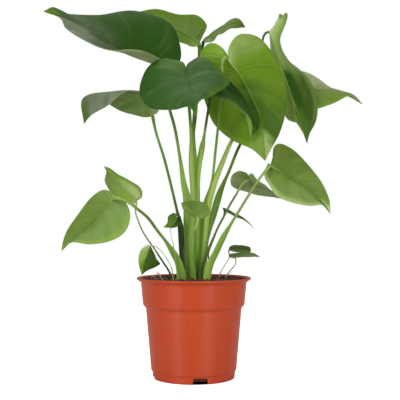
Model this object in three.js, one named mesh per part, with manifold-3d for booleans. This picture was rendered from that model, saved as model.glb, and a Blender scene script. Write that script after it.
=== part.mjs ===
// Young swiss cheese plant in a nursery pot: whole heart-shaped leaves on sheathed stalks, soil and pot.
// Millimetres, +Z up, seen from the -Y side. The origin is the centre of the pot's underside.

import * as THREE from 'three';
import { mergeVertices } from 'three/addons/utils/BufferGeometryUtils.js';
import Module from 'manifold-3d';

const wasm = await Module();
wasm.setup();

// Pot: outside radii and heights
const POT_HEIGHT = 165;
const RIM_RADIUS = 94.5;
const RIM_DEPTH = 7;
const BAND_TOP_RADIUS = 87;
const BAND_BOTTOM_RADIUS = 83.8;
const BAND_BOTTOM = 121;
const SHOULDER_BOTTOM = 115;
const WALL_TOP_RADIUS = 78.8;
const WALL_BOTTOM_RADIUS = 70.2;
const FOOT_HEIGHT = 11;
const FOOT_RADIUS = 68.2;
const WALL = 1.6;
const UNDER_RIM = POT_HEIGHT - RIM_DEPTH;
const LIP_WIDTH = 4.8;
const LIP_EDGE = 1.5;
const CREASE = 2.5;
const ROUNDING = 2;
const BEVEL = 1;
const POT_SEGMENTS = 40;

// Pot: underside with a ring foot, a middle pad, drain holes and notches that let water out
const FLOOR_UNDER = 4;
const FLOOR_TOP = 6;
const FOOT_INSIDE = 61.7;
const PAD_RADIUS = 16;
const PAD_SLOPE = 2;
const DRAIN_HOLES = 8;
const DRAIN_RADIUS = 4.5;
const DRAIN_CIRCLE = 38;
const DRAIN_SIDES = 12;
const NOTCHES = 4;
const NOTCH_ANGLE = 9;
const NOTCH_TOP_WIDTH = 21;
const NOTCH_BOTTOM_WIDTH = 27;
const NOTCH_HEIGHT = 10;
const NOTCH_OVERRUN = 3;

// Soil: a low mound a little under the rim
const SOIL_EDGE = 159;
const SOIL_MIDDLE = 162;
const SOIL_RADIUS = 84.5;
const SOIL_STEPS = 4;
const GAP = 0.3;
const HOLE_CLEARANCE = 0.4;

// Leaves: blade thickness and how finely blades and stalks are divided
const BLADE = 1;
const LARGE = { rows: 14, columns: 3, sides: 8, steps: 15 };
const YOUNG = { rows: 7, columns: 2, sides: 6, steps: 8 };
const SAME_POINT = 1e-4;
const KNEE = 1.4;
const KNEE_ROWS = 4;

// One card for each leaf. The rib runs from the joint with the stalk to the tip. Left and right are points
// along the margin from joint to tip, named as on the upper face with the tip up. The belly is how far each
// half swells above its chords. The stalk runs from under the joint down into the soil. Its radius is given
// at the blade, at the top of the sheath and at the soil, and the sheath by the shares of the stalk's length
// at which it begins and is full.
const LARGE_LEAVES = [
  {
    name: 'leaf_upper_left',
    rib: [[-60, 19, 519], [-118, -18, 534], [-175, -47, 568], [-240, -43, 592]],
    left: [[-55, -7, 523], [-73, -48, 526], [-100, -65, 525], [-137, -72, 526], [-179, -71, 542],
      [-201, -61, 561], [-212, -54, 578]],
    right: [[-27, 30, 524], [-22, 44, 553], [-43, 55, 598], [-102, 42, 617], [-158, -2, 596],
      [-204, -32, 592], [-224, -41, 599]],
    belly: [0, 5],
    stalk: [[-57, 20, 504], [-48, 19, 472], [-40, 18, 443], [-31, 18, 410], [-23, 18, 363], [-17, 19, 323],
      [-11, 20, 289], [-11, 22, 232], [-11, 27, 139]],
    radius: [2.6, 6.8, 5.6],
    sheath: [0.38, 0.64],
  },
  {
    name: 'leaf_upper_back',
    rib: [[9, 86, 571], [-32, 106, 600], [-79, 117, 619], [-126, 123, 619]],
    left: [[19, 110, 594], [23, 119, 612], [4, 130, 631], [-31, 138, 636], [-71, 142, 645],
      [-103, 134, 638]],
    right: [[7, 74, 562], [-7, 66, 562], [-22, 66, 566], [-45, 77, 581], [-74, 94, 597], [-102, 109, 608]],
    belly: [4, 3],
    stalk: [[10, 83, 560], [9, 79, 543], [5, 63, 493], [0, 46, 430], [0, 39, 398], [3, 34, 356],
      [5, 36, 295], [4, 36, 225], [4, 36, 139]],
    radius: [2.6, 3.8, 4.4],
    sheath: [0.42, 0.55],
  },
  {
    name: 'leaf_upper_edge',
    rib: [[17, 115, 580], [46, 129, 600], [72, 141, 618], [95, 151, 614]],
    left: [[21, 147, 591], [34, 160, 604], [51, 165, 618], [69, 167, 631], [85, 162, 633]],
    right: [[23, 96, 573], [36, 89, 577], [46, 96, 588], [61, 110, 599], [79, 130, 608]],
    belly: [3, 3],
    stalk: [[16, 113, 571], [13, 107, 556], [8, 93, 507], [4, 77, 446], [0, 68, 407], [1, 63, 377],
      [7, 58, 337], [8, 55, 268], [9, 56, 137]],
    radius: [2.2, 3.0, 4.5],
    sheath: [0.42, 0.6],
  },
  {
    name: 'leaf_centre',
    rib: [[-13, -31, 501], [-8, -73, 468], [-3, -111, 438], [3, -124, 411]],
    left: [[-6, -20, 517], [12, -14, 525], [36, -23, 509], [57, -47, 479], [34, -82, 454], [9, -114, 437]],
    right: [[-20, -20, 517], [-50, -14, 523], [-77, -25, 502], [-87, -50, 464], [-69, -77, 433],
      [-32, -101, 427], [-7, -117, 428]],
    belly: [5, 5],
    stalk: [[-12, -24, 496], [-11, -17, 481], [-7, -15, 438], [-4, -16, 392], [-4, -16, 347],
      [-1, -14, 300], [-1, -14, 264], [-4, -13, 221], [-4, -11, 180], [-3, -10, 143]],
    radius: [2.6, 4.2, 6.4],
    sheath: [0.28, 0.42],
  },
  {
    name: 'leaf_centre_right',
    rib: [[30, -12, 495], [55, -28, 469], [79, -37, 438], [92, -35, 392]],
    left: [[39, -9, 499], [56, -12, 490], [72, -14, 473], [87, -18, 447], [99, -22, 422], [105, -27, 406]],
    right: [[19, -19, 488], [16, -34, 470], [31, -47, 455], [55, -54, 445], [75, -57, 430], [92, -49, 413]],
    belly: [2, 2],
    stalk: [[30, -8, 487], [28, -8, 472], [25, -8, 448], [18, -7, 403], [14, -5, 377], [9, -3, 350],
      [6, -2, 317], [5, 2, 272], [5, 7, 209], [6, 11, 141]],
    radius: [2.2, 4.2, 4.8],
    sheath: [0.27, 0.34],
  },
  {
    name: 'leaf_large_right',
    rib: [[56, 10, 528], [86, 19, 487], [114, 30, 426], [121, 34, 359]],
    left: [[48, 12, 546], [27, 18, 555], [10, 23, 536], [8, 27, 495], [19, 32, 459], [34, 37, 423],
      [65, 39, 395], [99, 37, 379]],
    right: [[61, 14, 551], [77, 18, 570], [110, 25, 566], [137, 32, 535], [154, 35, 490], [157, 37, 448],
      [146, 36, 407], [131, 35, 379]],
    belly: [5, 5],
    stalk: [[51, 5, 528], [47, 2, 520], [47, 5, 508], [49, 10, 484], [45, 14, 456], [40, 16, 409],
      [36, 18, 371], [31, 21, 326], [22, 22, 291], [14, 22, 257], [13, 24, 220], [14, 28, 178],
      [15, 31, 139]],
    radius: [2.2, 5.0, 5.0],
    sheath: [0.52, 0.66],
  },
  {
    name: 'leaf_tall_right',
    rib: [[129, 59, 584], [147, 56, 535], [169, 51, 470], [193, 40, 389]],
    left: [[139, 67, 596], [147, 73, 607], [150, 76, 620], [156, 79, 617], [163, 82, 622], [165, 91, 611],
      [155, 101, 586], [158, 109, 563], [171, 110, 542], [190, 107, 528], [206, 101, 510], [217, 87, 472],
      [213, 71, 434], [199, 54, 407]],
    right: [[133, 71, 581], [136, 82, 566], [138, 94, 542], [144, 97, 508], [154, 88, 465], [163, 77, 438],
      [171, 71, 430], [179, 63, 426], [187, 51, 410]],
    belly: [2, 2],
    stalk: [[125, 61, 583], [121, 65, 578], [119, 70, 564], [114, 74, 512], [96, 69, 450], [66, 53, 397],
      [48, 30, 355], [34, 11, 319], [25, 3, 287], [20, 1, 256], [18, 0, 226], [16, 0, 190], [17, 0, 142]],
    radius: [1.8, 5.4, 5.4],
    sheath: [0.2, 0.75],
  },
  {
    name: 'leaf_far_right',
    rib: [[174, 121, 505], [206, 121, 498], [238, 119, 492], [270, 118, 486], [303, 116, 468]],
    left: [[168, 134, 522], [180, 142, 535], [202, 147, 533], [228, 145, 518], [252, 138, 502],
      [276, 129, 490], [290, 122, 485]],
    right: [[169, 115, 487], [181, 106, 466], [200, 101, 454], [221, 101, 457], [240, 104, 464],
      [258, 109, 472], [274, 113, 480], [288, 117, 481]],
    belly: [3, 3],
    stalk: [[168, 122, 501], [155, 120, 492], [133, 114, 469], [109, 100, 435], [81, 82, 391],
      [62, 67, 346], [46, 56, 309], [34, 50, 269], [25, 49, 242], [19, 48, 215], [18, 48, 177],
      [19, 48, 138]],
    radius: [2.6, 5.7, 5.2],
    sheath: [0.5, 0.63],
  },
  {
    name: 'leaf_middle_left',
    rib: [[-69, 16, 434], [-88, -5, 464], [-145, -14, 468], [-181, -19, 456], [-178, -23, 415]],
    left: [[-60, 7, 438], [-55, -6, 451], [-66, -21, 463], [-86, -36, 466], [-108, -47, 462],
      [-134, -54, 442], [-162, -44, 427]],
    right: [[-74, 22, 432], [-91, 30, 434], [-113, 35, 440], [-135, 35, 450], [-158, 24, 459],
      [-174, 4, 448]],
    belly: [3, 3],
    stalk: [[-68, 17, 429], [-64, 16, 409], [-58, 14, 389], [-49, 12, 361], [-37, 7, 314], [-28, 5, 276],
      [-22, 4, 249], [-20, 5, 218], [-16, 7, 141]],
    radius: [2.3, 5.2, 4.6],
    sheath: [0.54, 0.65],
  },
  {
    name: 'leaf_lower_left',
    rib: [[-125, -77, 293], [-144, -85, 271], [-173, -92, 242], [-203, -95, 211]],
    left: [[-130, -74, 303], [-143, -76, 305], [-160, -81, 293], [-177, -87, 269], [-192, -91, 248],
      [-200, -94, 227]],
    right: [[-114, -69, 292], [-103, -70, 281], [-99, -74, 260], [-108, -80, 239], [-132, -85, 225],
      [-159, -88, 221], [-187, -93, 224]],
    belly: [4, 4],
    stalk: [[-119, -81, 293], [-109, -81, 290], [-98, -77, 284], [-88, -71, 276], [-72, -62, 262],
      [-57, -51, 241], [-44, -44, 224], [-33, -37, 206], [-24, -31, 186], [-17, -23, 144]],
    radius: [2.4, 5.0, 8.2],
    sheath: [0.54, 0.7],
  },
  {
    name: 'leaf_lower_left_upper',
    rib: [[-95, 8, 291], [-113, 11, 306], [-133, 15, 327], [-150, 18, 349]],
    left: [[-88, 15, 297], [-86, 20, 306], [-93, 23, 317], [-109, 27, 326], [-128, 26, 337],
      [-141, 22, 346]],
    right: [[-101, -2, 284], [-112, -12, 287], [-127, -17, 297], [-140, -12, 308], [-146, -1, 324],
      [-146, 10, 340]],
    belly: [3, 3],
    stalk: [[-95, 4, 285], [-96, 1, 271], [-86, -2, 244], [-75, -4, 226], [-65, -5, 212], [-52, -4, 192],
      [-39, -3, 171], [-29, -2, 142]],
    radius: [1.3, 1.7, 3.0],
    sheath: [0.5, 0.75],
  },
  {
    name: 'leaf_lower_right',
    rib: [[123, -37, 346], [152, -46, 327], [184, -54, 305], [216, -56, 269]],
    left: [[120, -34, 350], [115, -33, 340], [114, -33, 329], [120, -37, 316], [132, -41, 298],
      [156, -45, 287], [182, -49, 281], [205, -54, 282]],
    right: [[127, -34, 359], [128, -32, 374], [139, -32, 382], [161, -34, 371], [186, -37, 345],
      [204, -43, 319], [215, -51, 292]],
    belly: [4, 4],
    stalk: [[118, -42, 341], [107, -44, 328], [93, -43, 307], [74, -39, 276], [60, -35, 253],
      [47, -32, 231], [36, -29, 208], [26, -27, 187], [21, -24, 166], [20, -21, 144]],
    radius: [2.2, 5.2, 7.4],
    sheath: [0.46, 0.63],
  },
  {
    name: 'leaf_curled',
    rib: [[91, 5, 325], [109, 10, 315], [129, 16, 305], [153, 23, 294]],
    left: [[88, 8, 336], [77, 9, 341], [64, 10, 334], [62, 7, 319], [75, 2, 308], [96, 1, 303],
      [124, 9, 298]],
    right: [[92, 12, 331], [96, 20, 337], [107, 27, 328], [119, 29, 318], [137, 28, 306]],
    belly: [3, 2],
    stalk: [[84, -5, 322], [77, -10, 314], [70, -13, 302], [58, -16, 282], [48, -18, 263], [39, -19, 246],
      [30, -18, 225], [21, -18, 203], [13, -16, 181], [9, -13, 143]],
    radius: [1.8, 2.6, 3.4],
    sheath: [0.5, 0.65],
  },
];

const YOUNG_LEAVES = [
  {
    name: 'young_leaf_centre',
    rib: [[6, -55, 262], [-1, -61, 271], [-10, -66, 280], [-20, -68, 286]],
    left: [[-1, -56, 264], [-10, -61, 269], [-17, -64, 276]],
    right: [[15, -54, 262], [24, -54, 268], [22, -56, 282], [10, -60, 288], [-7, -65, 289]],
    belly: [1, 1],
    stalk: [[6, -56, 256], [2, -54, 244], [-3, -51, 233], [-5, -45, 208], [1, -41, 176], [3, -36, 145]],
    radius: [1.2, 1.4, 1.8],
    sheath: [0.4, 0.7],
  },
  {
    name: 'young_leaf_round',
    rib: [[-26, -55, 265], [-29, -58, 256], [-37, -61, 249], [-48, -63, 247]],
    left: [[-21, -53, 264], [-20, -55, 255], [-29, -59, 247]],
    right: [[-31, -52, 270], [-40, -53, 265], [-42, -58, 254]],
    belly: [1, 1],
    stalk: [[-29, -52, 256], [-37, -50, 244], [-35, -49, 230], [-32, -46, 216], [-28, -41, 185],
      [-24, -38, 145]],
    radius: [0.8, 0.9, 1.3],
    sheath: [0.4, 0.7],
  },
  {
    name: 'young_leaf_rim_left',
    rib: [[-68, -51, 218], [-73, -58, 205], [-78, -64, 190], [-82, -64, 172]],
    left: [[-67, -44, 209], [-61, -45, 201], [-58, -47, 193], [-53, -50, 189], [-61, -52, 184],
      [-73, -60, 179]],
    right: [[-74, -54, 219], [-83, -59, 212], [-87, -63, 197], [-85, -65, 183]],
    belly: [2, 2],
    stalk: [[-65, -47, 218], [-57, -44, 214], [-50, -41, 207], [-42, -40, 195], [-35, -39, 180],
      [-32, -36, 145]],
    radius: [0.8, 1.0, 1.5],
    sheath: [0.4, 0.7],
  },
  {
    name: 'young_leaf_slim',
    rib: [[50, 39, 279], [65, 34, 270], [83, 30, 261], [101, 26, 246]],
    left: [[55, 49, 279], [69, 49, 271], [86, 40, 262]],
    right: [[54, 25, 273], [69, 21, 265], [87, 22, 257]],
    belly: [1, 1],
    stalk: [[52, 35, 274], [50, 32, 265], [41, 30, 246], [32, 29, 224], [25, 28, 203], [26, 28, 183],
      [27, 29, 139]],
    radius: [1.0, 1.3, 2.0],
    sheath: [0.4, 0.7],
  },
  {
    name: 'young_leaf_rim_upper',
    rib: [[61, 54, 209], [72, 51, 209], [84, 48, 208], [98, 47, 205]],
    left: [[62, 62, 213], [72, 65, 216], [85, 64, 215], [96, 57, 213]],
    right: [[61, 45, 207], [70, 40, 205], [82, 39, 204], [93, 42, 203]],
    belly: [1, 1],
    stalk: [[60, 55, 206], [61, 54, 194], [52, 49, 180], [43, 44, 162], [40, 44, 138]],
    radius: [0.9, 1.1, 1.5],
    sheath: [0.4, 0.7],
  },
  {
    name: 'young_leaf_rim_lower',
    rib: [[58, -5, 201], [74, -11, 202], [90, -15, 203], [108, -19, 199]],
    left: [[60, 7, 202], [71, 14, 204], [86, 12, 205], [99, -1, 204]],
    right: [[58, -17, 199], [69, -26, 198], [84, -29, 199], [98, -26, 199]],
    belly: [1, 1],
    stalk: [[60, -3, 198], [69, 4, 195], [69, 10, 185], [61, 17, 174], [54, 22, 162], [52, 26, 139]],
    radius: [0.9, 1.1, 1.5],
    sheath: [0.4, 0.7],
  },
];

// A smooth line through the given points
function lineThrough(points) {
  const places = points.map((p) => (p.isVector3 ? p : new THREE.Vector3(...p)));
  return new THREE.CatmullRomCurve3(places, false, 'catmullrom', 0.5);
}

// A closed mesh as a solid
function solidOf(geometry) {
  const bare = geometry.clone();
  bare.deleteAttribute('normal');
  bare.deleteAttribute('uv');
  const merged = mergeVertices(bare, SAME_POINT);
  return new wasm.Manifold(new wasm.Mesh({
    numProp: 3,
    vertProperties: new Float32Array(merged.attributes.position.array),
    triVerts: new Uint32Array(merged.index.array),
  }));
}

// A solid as a mesh with flat normals
function geometryOf(solid) {
  const mesh = solid.getMesh();
  const geometry = new THREE.BufferGeometry();
  geometry.setAttribute('position', new THREE.BufferAttribute(mesh.vertProperties, 3));
  geometry.setIndex(new THREE.BufferAttribute(mesh.triVerts, 1));
  geometry.computeVertexNormals();
  return geometry;
}

// A closed mesh from points and triangles
function closedGeometry(points, triangles) {
  const geometry = new THREE.BufferGeometry().setFromPoints(points);
  geometry.setIndex(triangles);
  return geometry;
}

// One half of a blade as rows of points. Row a leaves the midrib at a squared of its length and ends on the
// margin at a, so the rows fan out round the lobe as veins do, and the belly lifts their middles.
function halfRows(leaf, side, rows, columns) {
  const rib = lineThrough(leaf.rib);
  const margin = lineThrough([leaf.rib[0], ...leaf[side], leaf.rib[leaf.rib.length - 1]]);
  const belly = leaf.belly[side === 'left' ? 0 : 1];
  const spans = [];
  for (let i = 1; i < rows; i++) {
    const a = i / rows;
    const start = rib.getPoint(a * a);
    const reach = margin.getPoint(a).sub(start);
    const up = new THREE.Vector3().crossVectors(reach, rib.getTangent(a * a)).normalize();
    spans.push({ start, reach, up: side === 'left' ? up.negate() : up });
  }
  const widest = Math.max(...spans.map((span) => span.reach.length()));
  return spans.map(({ start, reach, up }) => {
    const row = [];
    for (let j = 0; j <= columns; j++) {
      const b = j / columns;
      const lift = belly * 4 * b * (1 - b) * reach.length() / widest;
      row.push(start.clone().addScaledVector(reach, b).addScaledVector(up, lift));
    }
    return row;
  });
}

// A blade: both halves joined at the midrib, thickened along their normals, with the same triangles above
// and below and a narrow rim round the margin.
function bladeGeometry(leaf, { rows, columns }) {
  const left = halfRows(leaf, 'left', rows, columns);
  const right = halfRows(leaf, 'right', rows, columns);
  const grid = left.map((row, i) => [...row.slice(1).reverse(), ...right[i]]);
  const joint = new THREE.Vector3(...leaf.rib[0]);
  const tip = new THREE.Vector3(...leaf.rib[leaf.rib.length - 1]);
  const last = grid.length - 1;
  const across = 2 * columns;
  const at = (i, j) => (i < 0 ? joint : i > last ? tip : grid[i][j]);
  const normal = (i, j) => {
    const sideways = at(i, Math.min(j + 1, across)).clone().sub(at(i, Math.max(j - 1, 0)));
    const onward = at(i + 1, j).clone().sub(at(i - 1, j));
    return sideways.cross(onward).normalize();
  };

  const points = [];
  const addPair = (place, up) => {
    points.push(place.clone().addScaledVector(up, BLADE / 2), place.clone().addScaledVector(up, -BLADE / 2));
    return points.length - 2;
  };
  const jointPair = addPair(joint, normal(0, columns));
  const pairs = grid.map((row, i) => row.map((place, j) => addPair(place, normal(i, j))));
  const tipPair = addPair(tip, normal(last, columns));

  const triangles = [];
  const addFace = (a, b, c) => triangles.push(a, b, c, a + 1, c + 1, b + 1);
  for (let j = 0; j < across; j++) {
    addFace(jointPair, pairs[0][j + 1], pairs[0][j]);
    addFace(pairs[last][j], pairs[last][j + 1], tipPair);
    for (let i = 0; i < last; i++) {
      addFace(pairs[i][j], pairs[i][j + 1], pairs[i + 1][j + 1]);
      addFace(pairs[i][j], pairs[i + 1][j + 1], pairs[i + 1][j]);
    }
  }
  const leftEdge = pairs.map((row) => row[0]);
  const rightEdge = pairs.map((row) => row[across]).reverse();
  const edge = [jointPair, ...leftEdge, tipPair, ...rightEdge];
  edge.forEach((from, k) => {
    const to = edge[(k + 1) % edge.length];
    triangles.push(from, to, to + 1, from, to + 1, from + 1);
  });
  return closedGeometry(points, triangles);
}

// A stalk: rings along its line that widen into the sheath towards the soil, with a flat cap at each end.
// The allowance widens and lengthens it, for its hole in the soil.
function stalkGeometry(leaf, { sides, steps }, allowance = 0) {
  const route = [leaf.rib[0], ...leaf.stalk].map((p) => new THREE.Vector3(...p));
  route[route.length - 1].z -= allowance;
  const line = lineThrough(route);
  const frames = line.computeFrenetFrames(steps, false);
  const [top, full, bottom] = leaf.radius;
  const points = [];
  for (let i = 0; i <= steps; i++) {
    const u = i / steps;
    const opened = THREE.MathUtils.smoothstep(u, leaf.sheath[0], leaf.sheath[1]);
    const lowered = THREE.MathUtils.smoothstep(u, leaf.sheath[1], 1);
    const radius = top + (full - top) * opened + (bottom - full) * lowered + allowance;
    const centre = line.getPointAt(u);
    for (let k = 0; k < sides; k++) {
      const angle = (2 * Math.PI * k) / sides;
      points.push(centre.clone()
        .addScaledVector(frames.normals[i], radius * Math.cos(angle))
        .addScaledVector(frames.binormals[i], radius * Math.sin(angle)));
    }
  }
  const start = points.push(line.getPointAt(0)) - 1;
  const end = points.push(line.getPointAt(1)) - 1;

  const triangles = [];
  const lastRing = steps * sides;
  for (let k = 0; k < sides; k++) {
    const next = (k + 1) % sides;
    triangles.push(start, next, k, end, lastRing + k, lastRing + next);
    for (let i = 0; i < steps; i++) {
      const a = i * sides + k;
      const b = i * sides + next;
      triangles.push(a, b, b + sides, a, b + sides, a + sides);
    }
  }
  return closedGeometry(points, triangles);
}

// The knee: the slight swelling where a stalk meets its blade
function kneeGeometry(leaf, { sides }) {
  const knee = new THREE.SphereGeometry(leaf.radius[0] * KNEE, sides, KNEE_ROWS);
  return knee.translate(...leaf.rib[0]);
}

// A leaf: blade, knee, stalk and sheath grown as one
function leafSolid(leaf, fineness) {
  return solidOf(stalkGeometry(leaf, fineness))
    .add(solidOf(kneeGeometry(leaf, fineness)))
    .add(solidOf(bladeGeometry(leaf, fineness)));
}

// A round body turned about the vertical axis
function turned(profile) {
  const outline = profile.map(([radius, height]) => new THREE.Vector2(radius, height));
  return new THREE.LatheGeometry(outline, POT_SEGMENTS).rotateX(Math.PI / 2);
}

// The inside of the wall from the floor to the rim, shared by the pot and the soil
function insideProfile(clearance) {
  return [
    [FOOT_RADIUS - BEVEL - WALL - clearance, FLOOR_TOP + clearance],
    [WALL_BOTTOM_RADIUS - WALL - clearance, FOOT_HEIGHT + CREASE + WALL + clearance],
    [WALL_TOP_RADIUS - WALL - clearance, SHOULDER_BOTTOM - clearance],
    [BAND_BOTTOM_RADIUS - WALL - clearance, BAND_BOTTOM - clearance],
    [BAND_TOP_RADIUS - WALL - clearance, UNDER_RIM - WALL - clearance],
  ];
}

// The pot: foot, tapered wall, shoulder, band and flared rim, with drain holes and notches cut out
function potSolid() {
  const profile = [
    [0, 0],
    [PAD_RADIUS, 0],
    [PAD_RADIUS + PAD_SLOPE, FLOOR_UNDER],
    [FOOT_INSIDE - BEVEL, FLOOR_UNDER],
    [FOOT_INSIDE, 0],
    [FOOT_RADIUS - BEVEL, 0],
    [FOOT_RADIUS, FOOT_HEIGHT],
    [WALL_BOTTOM_RADIUS, FOOT_HEIGHT + CREASE],
    [WALL_TOP_RADIUS, SHOULDER_BOTTOM - BEVEL],
    [WALL_TOP_RADIUS + BEVEL, SHOULDER_BOTTOM + BEVEL],
    [BAND_BOTTOM_RADIUS - BEVEL, BAND_BOTTOM - ROUNDING],
    [BAND_BOTTOM_RADIUS, BAND_BOTTOM],
    [BAND_TOP_RADIUS, UNDER_RIM - ROUNDING],
    [BAND_TOP_RADIUS + BEVEL / 2, UNDER_RIM - BEVEL],
    [RIM_RADIUS - LIP_WIDTH, UNDER_RIM + BEVEL],
    [RIM_RADIUS - BEVEL / 2, POT_HEIGHT - LIP_EDGE - 2 * BEVEL],
    [RIM_RADIUS, POT_HEIGHT - LIP_EDGE],
    [RIM_RADIUS - BEVEL, POT_HEIGHT],
    [RIM_RADIUS - LIP_WIDTH, POT_HEIGHT - 2 * BEVEL],
    ...insideProfile(0).reverse(),
    [0, FLOOR_TOP],
  ];
  let pot = solidOf(turned(profile));
  for (let k = 0; k < DRAIN_HOLES; k++) {
    pot = pot.subtract(solidOf(drainTool((2 * Math.PI * k) / DRAIN_HOLES)));
  }
  for (let k = 0; k < NOTCHES; k++) {
    const angle = THREE.MathUtils.degToRad(NOTCH_ANGLE) + (2 * Math.PI * k) / NOTCHES;
    pot = pot.subtract(solidOf(notchTool(angle)));
  }
  return pot;
}

// A round hole through the raised floor
function drainTool(angle) {
  const tool = new THREE.CylinderGeometry(DRAIN_RADIUS, DRAIN_RADIUS, 2 * FLOOR_TOP, DRAIN_SIDES);
  return tool.rotateX(Math.PI / 2).translate(DRAIN_CIRCLE, 0, FLOOR_UNDER).rotateZ(angle);
}

// A notch through the ring foot, wider at the bottom, first made at the front
function notchTool(angle) {
  const top = NOTCH_TOP_WIDTH / 2;
  const bottom = NOTCH_BOTTOM_WIDTH / 2;
  const outline = new THREE.Shape([
    new THREE.Vector2(-bottom, -NOTCH_OVERRUN),
    new THREE.Vector2(bottom, -NOTCH_OVERRUN),
    new THREE.Vector2(top, NOTCH_HEIGHT),
    new THREE.Vector2(-top, NOTCH_HEIGHT),
  ]);
  const depth = FOOT_RADIUS - FOOT_INSIDE + 2 * NOTCH_OVERRUN;
  const tool = new THREE.ExtrudeGeometry(outline, { depth, bevelEnabled: false });
  return tool.rotateX(Math.PI / 2).translate(0, NOTCH_OVERRUN - FOOT_INSIDE, 0).rotateZ(angle);
}

// The soil: everything inside the pot up to a low mound, with a plain hole for each stalk
function soilSolid() {
  const top = new THREE.QuadraticBezierCurve(
    new THREE.Vector2(SOIL_RADIUS, SOIL_EDGE),
    new THREE.Vector2(SOIL_RADIUS / 2, SOIL_MIDDLE),
    new THREE.Vector2(0, SOIL_MIDDLE),
  );
  const wall = insideProfile(GAP).slice(0, 4);
  const profile = [[0, FLOOR_TOP + GAP], ...wall, ...top.getPoints(SOIL_STEPS).map((p) => [p.x, p.y])];
  let soil = solidOf(turned(profile));
  for (const [leaf, fineness] of allLeaves()) {
    soil = soil.subtract(solidOf(stalkGeometry(leaf, fineness, HOLE_CLEARANCE)));
  }
  return soil;
}

// Every leaf with how finely it is divided
function allLeaves() {
  return [...LARGE_LEAVES.map((leaf) => [leaf, LARGE]), ...YOUNG_LEAVES.map((leaf) => [leaf, YOUNG])];
}

// Finishes
function terracottaPlastic() {
  return new THREE.MeshStandardMaterial({ color: 0xc44d2d, roughness: 0.45, metalness: 0 });
}

function pottingSoil() {
  return new THREE.MeshStandardMaterial({ color: 0x3c1e19, roughness: 0.95, metalness: 0 });
}

function leafGreen(young) {
  return new THREE.MeshStandardMaterial({ color: young ? 0x6a8c3a : 0x4a7a2a, roughness: 0.4, metalness: 0 });
}

// A solid as a mesh with its name and finish
function namedMesh(name, solid, material) {
  const mesh = new THREE.Mesh(geometryOf(solid), material);
  mesh.name = name;
  return mesh;
}

const plant = new THREE.Group();
plant.add(namedMesh('pot', potSolid(), terracottaPlastic()));
plant.add(namedMesh('soil', soilSolid(), pottingSoil()));
for (const [leaf, fineness] of allLeaves()) {
  plant.add(namedMesh(leaf.name, leafSolid(leaf, fineness), leafGreen(fineness === YOUNG)));
}

export default plant;
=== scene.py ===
"""Potted swiss cheese plant: a young plant with whole heart-shaped leaves in a terracotta-coloured pot.

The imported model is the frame. Each leaf, the soil and the pot get a finer surface here, worked out from the
same lines and sizes. Metres, +Z up, the origin at the centre of the pot's underside, seen from the -Y side.
"""

import math

import bpy
import numpy as np
from bpy.props import FloatProperty, FloatVectorProperty, IntProperty, PointerProperty
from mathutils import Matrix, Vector


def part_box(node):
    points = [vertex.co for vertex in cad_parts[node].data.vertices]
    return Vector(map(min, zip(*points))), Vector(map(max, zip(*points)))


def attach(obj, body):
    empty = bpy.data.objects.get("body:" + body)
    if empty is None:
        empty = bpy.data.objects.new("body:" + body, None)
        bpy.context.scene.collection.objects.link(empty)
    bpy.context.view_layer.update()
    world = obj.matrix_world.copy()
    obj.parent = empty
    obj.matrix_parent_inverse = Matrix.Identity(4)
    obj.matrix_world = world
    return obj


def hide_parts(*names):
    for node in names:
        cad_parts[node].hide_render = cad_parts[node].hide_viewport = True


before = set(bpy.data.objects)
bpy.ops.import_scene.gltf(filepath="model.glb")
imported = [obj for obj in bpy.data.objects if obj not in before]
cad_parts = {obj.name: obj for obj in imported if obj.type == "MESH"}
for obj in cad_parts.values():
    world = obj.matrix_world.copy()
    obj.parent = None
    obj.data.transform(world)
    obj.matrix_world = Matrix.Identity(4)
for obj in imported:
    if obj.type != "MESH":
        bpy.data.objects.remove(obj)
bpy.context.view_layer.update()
POT_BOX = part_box("pot")

bl_info = {
    "name": "Potted Swiss Cheese Plant",
    "version": (1, 0, 0),
    "blender": (4, 5, 0),
    "location": "View3D > Sidebar > Plant",
    "description": "Builds a young swiss cheese plant, its soil and its nursery pot",
    "category": "Add Mesh",
}

MM = 0.001
BODY = "root"

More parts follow.
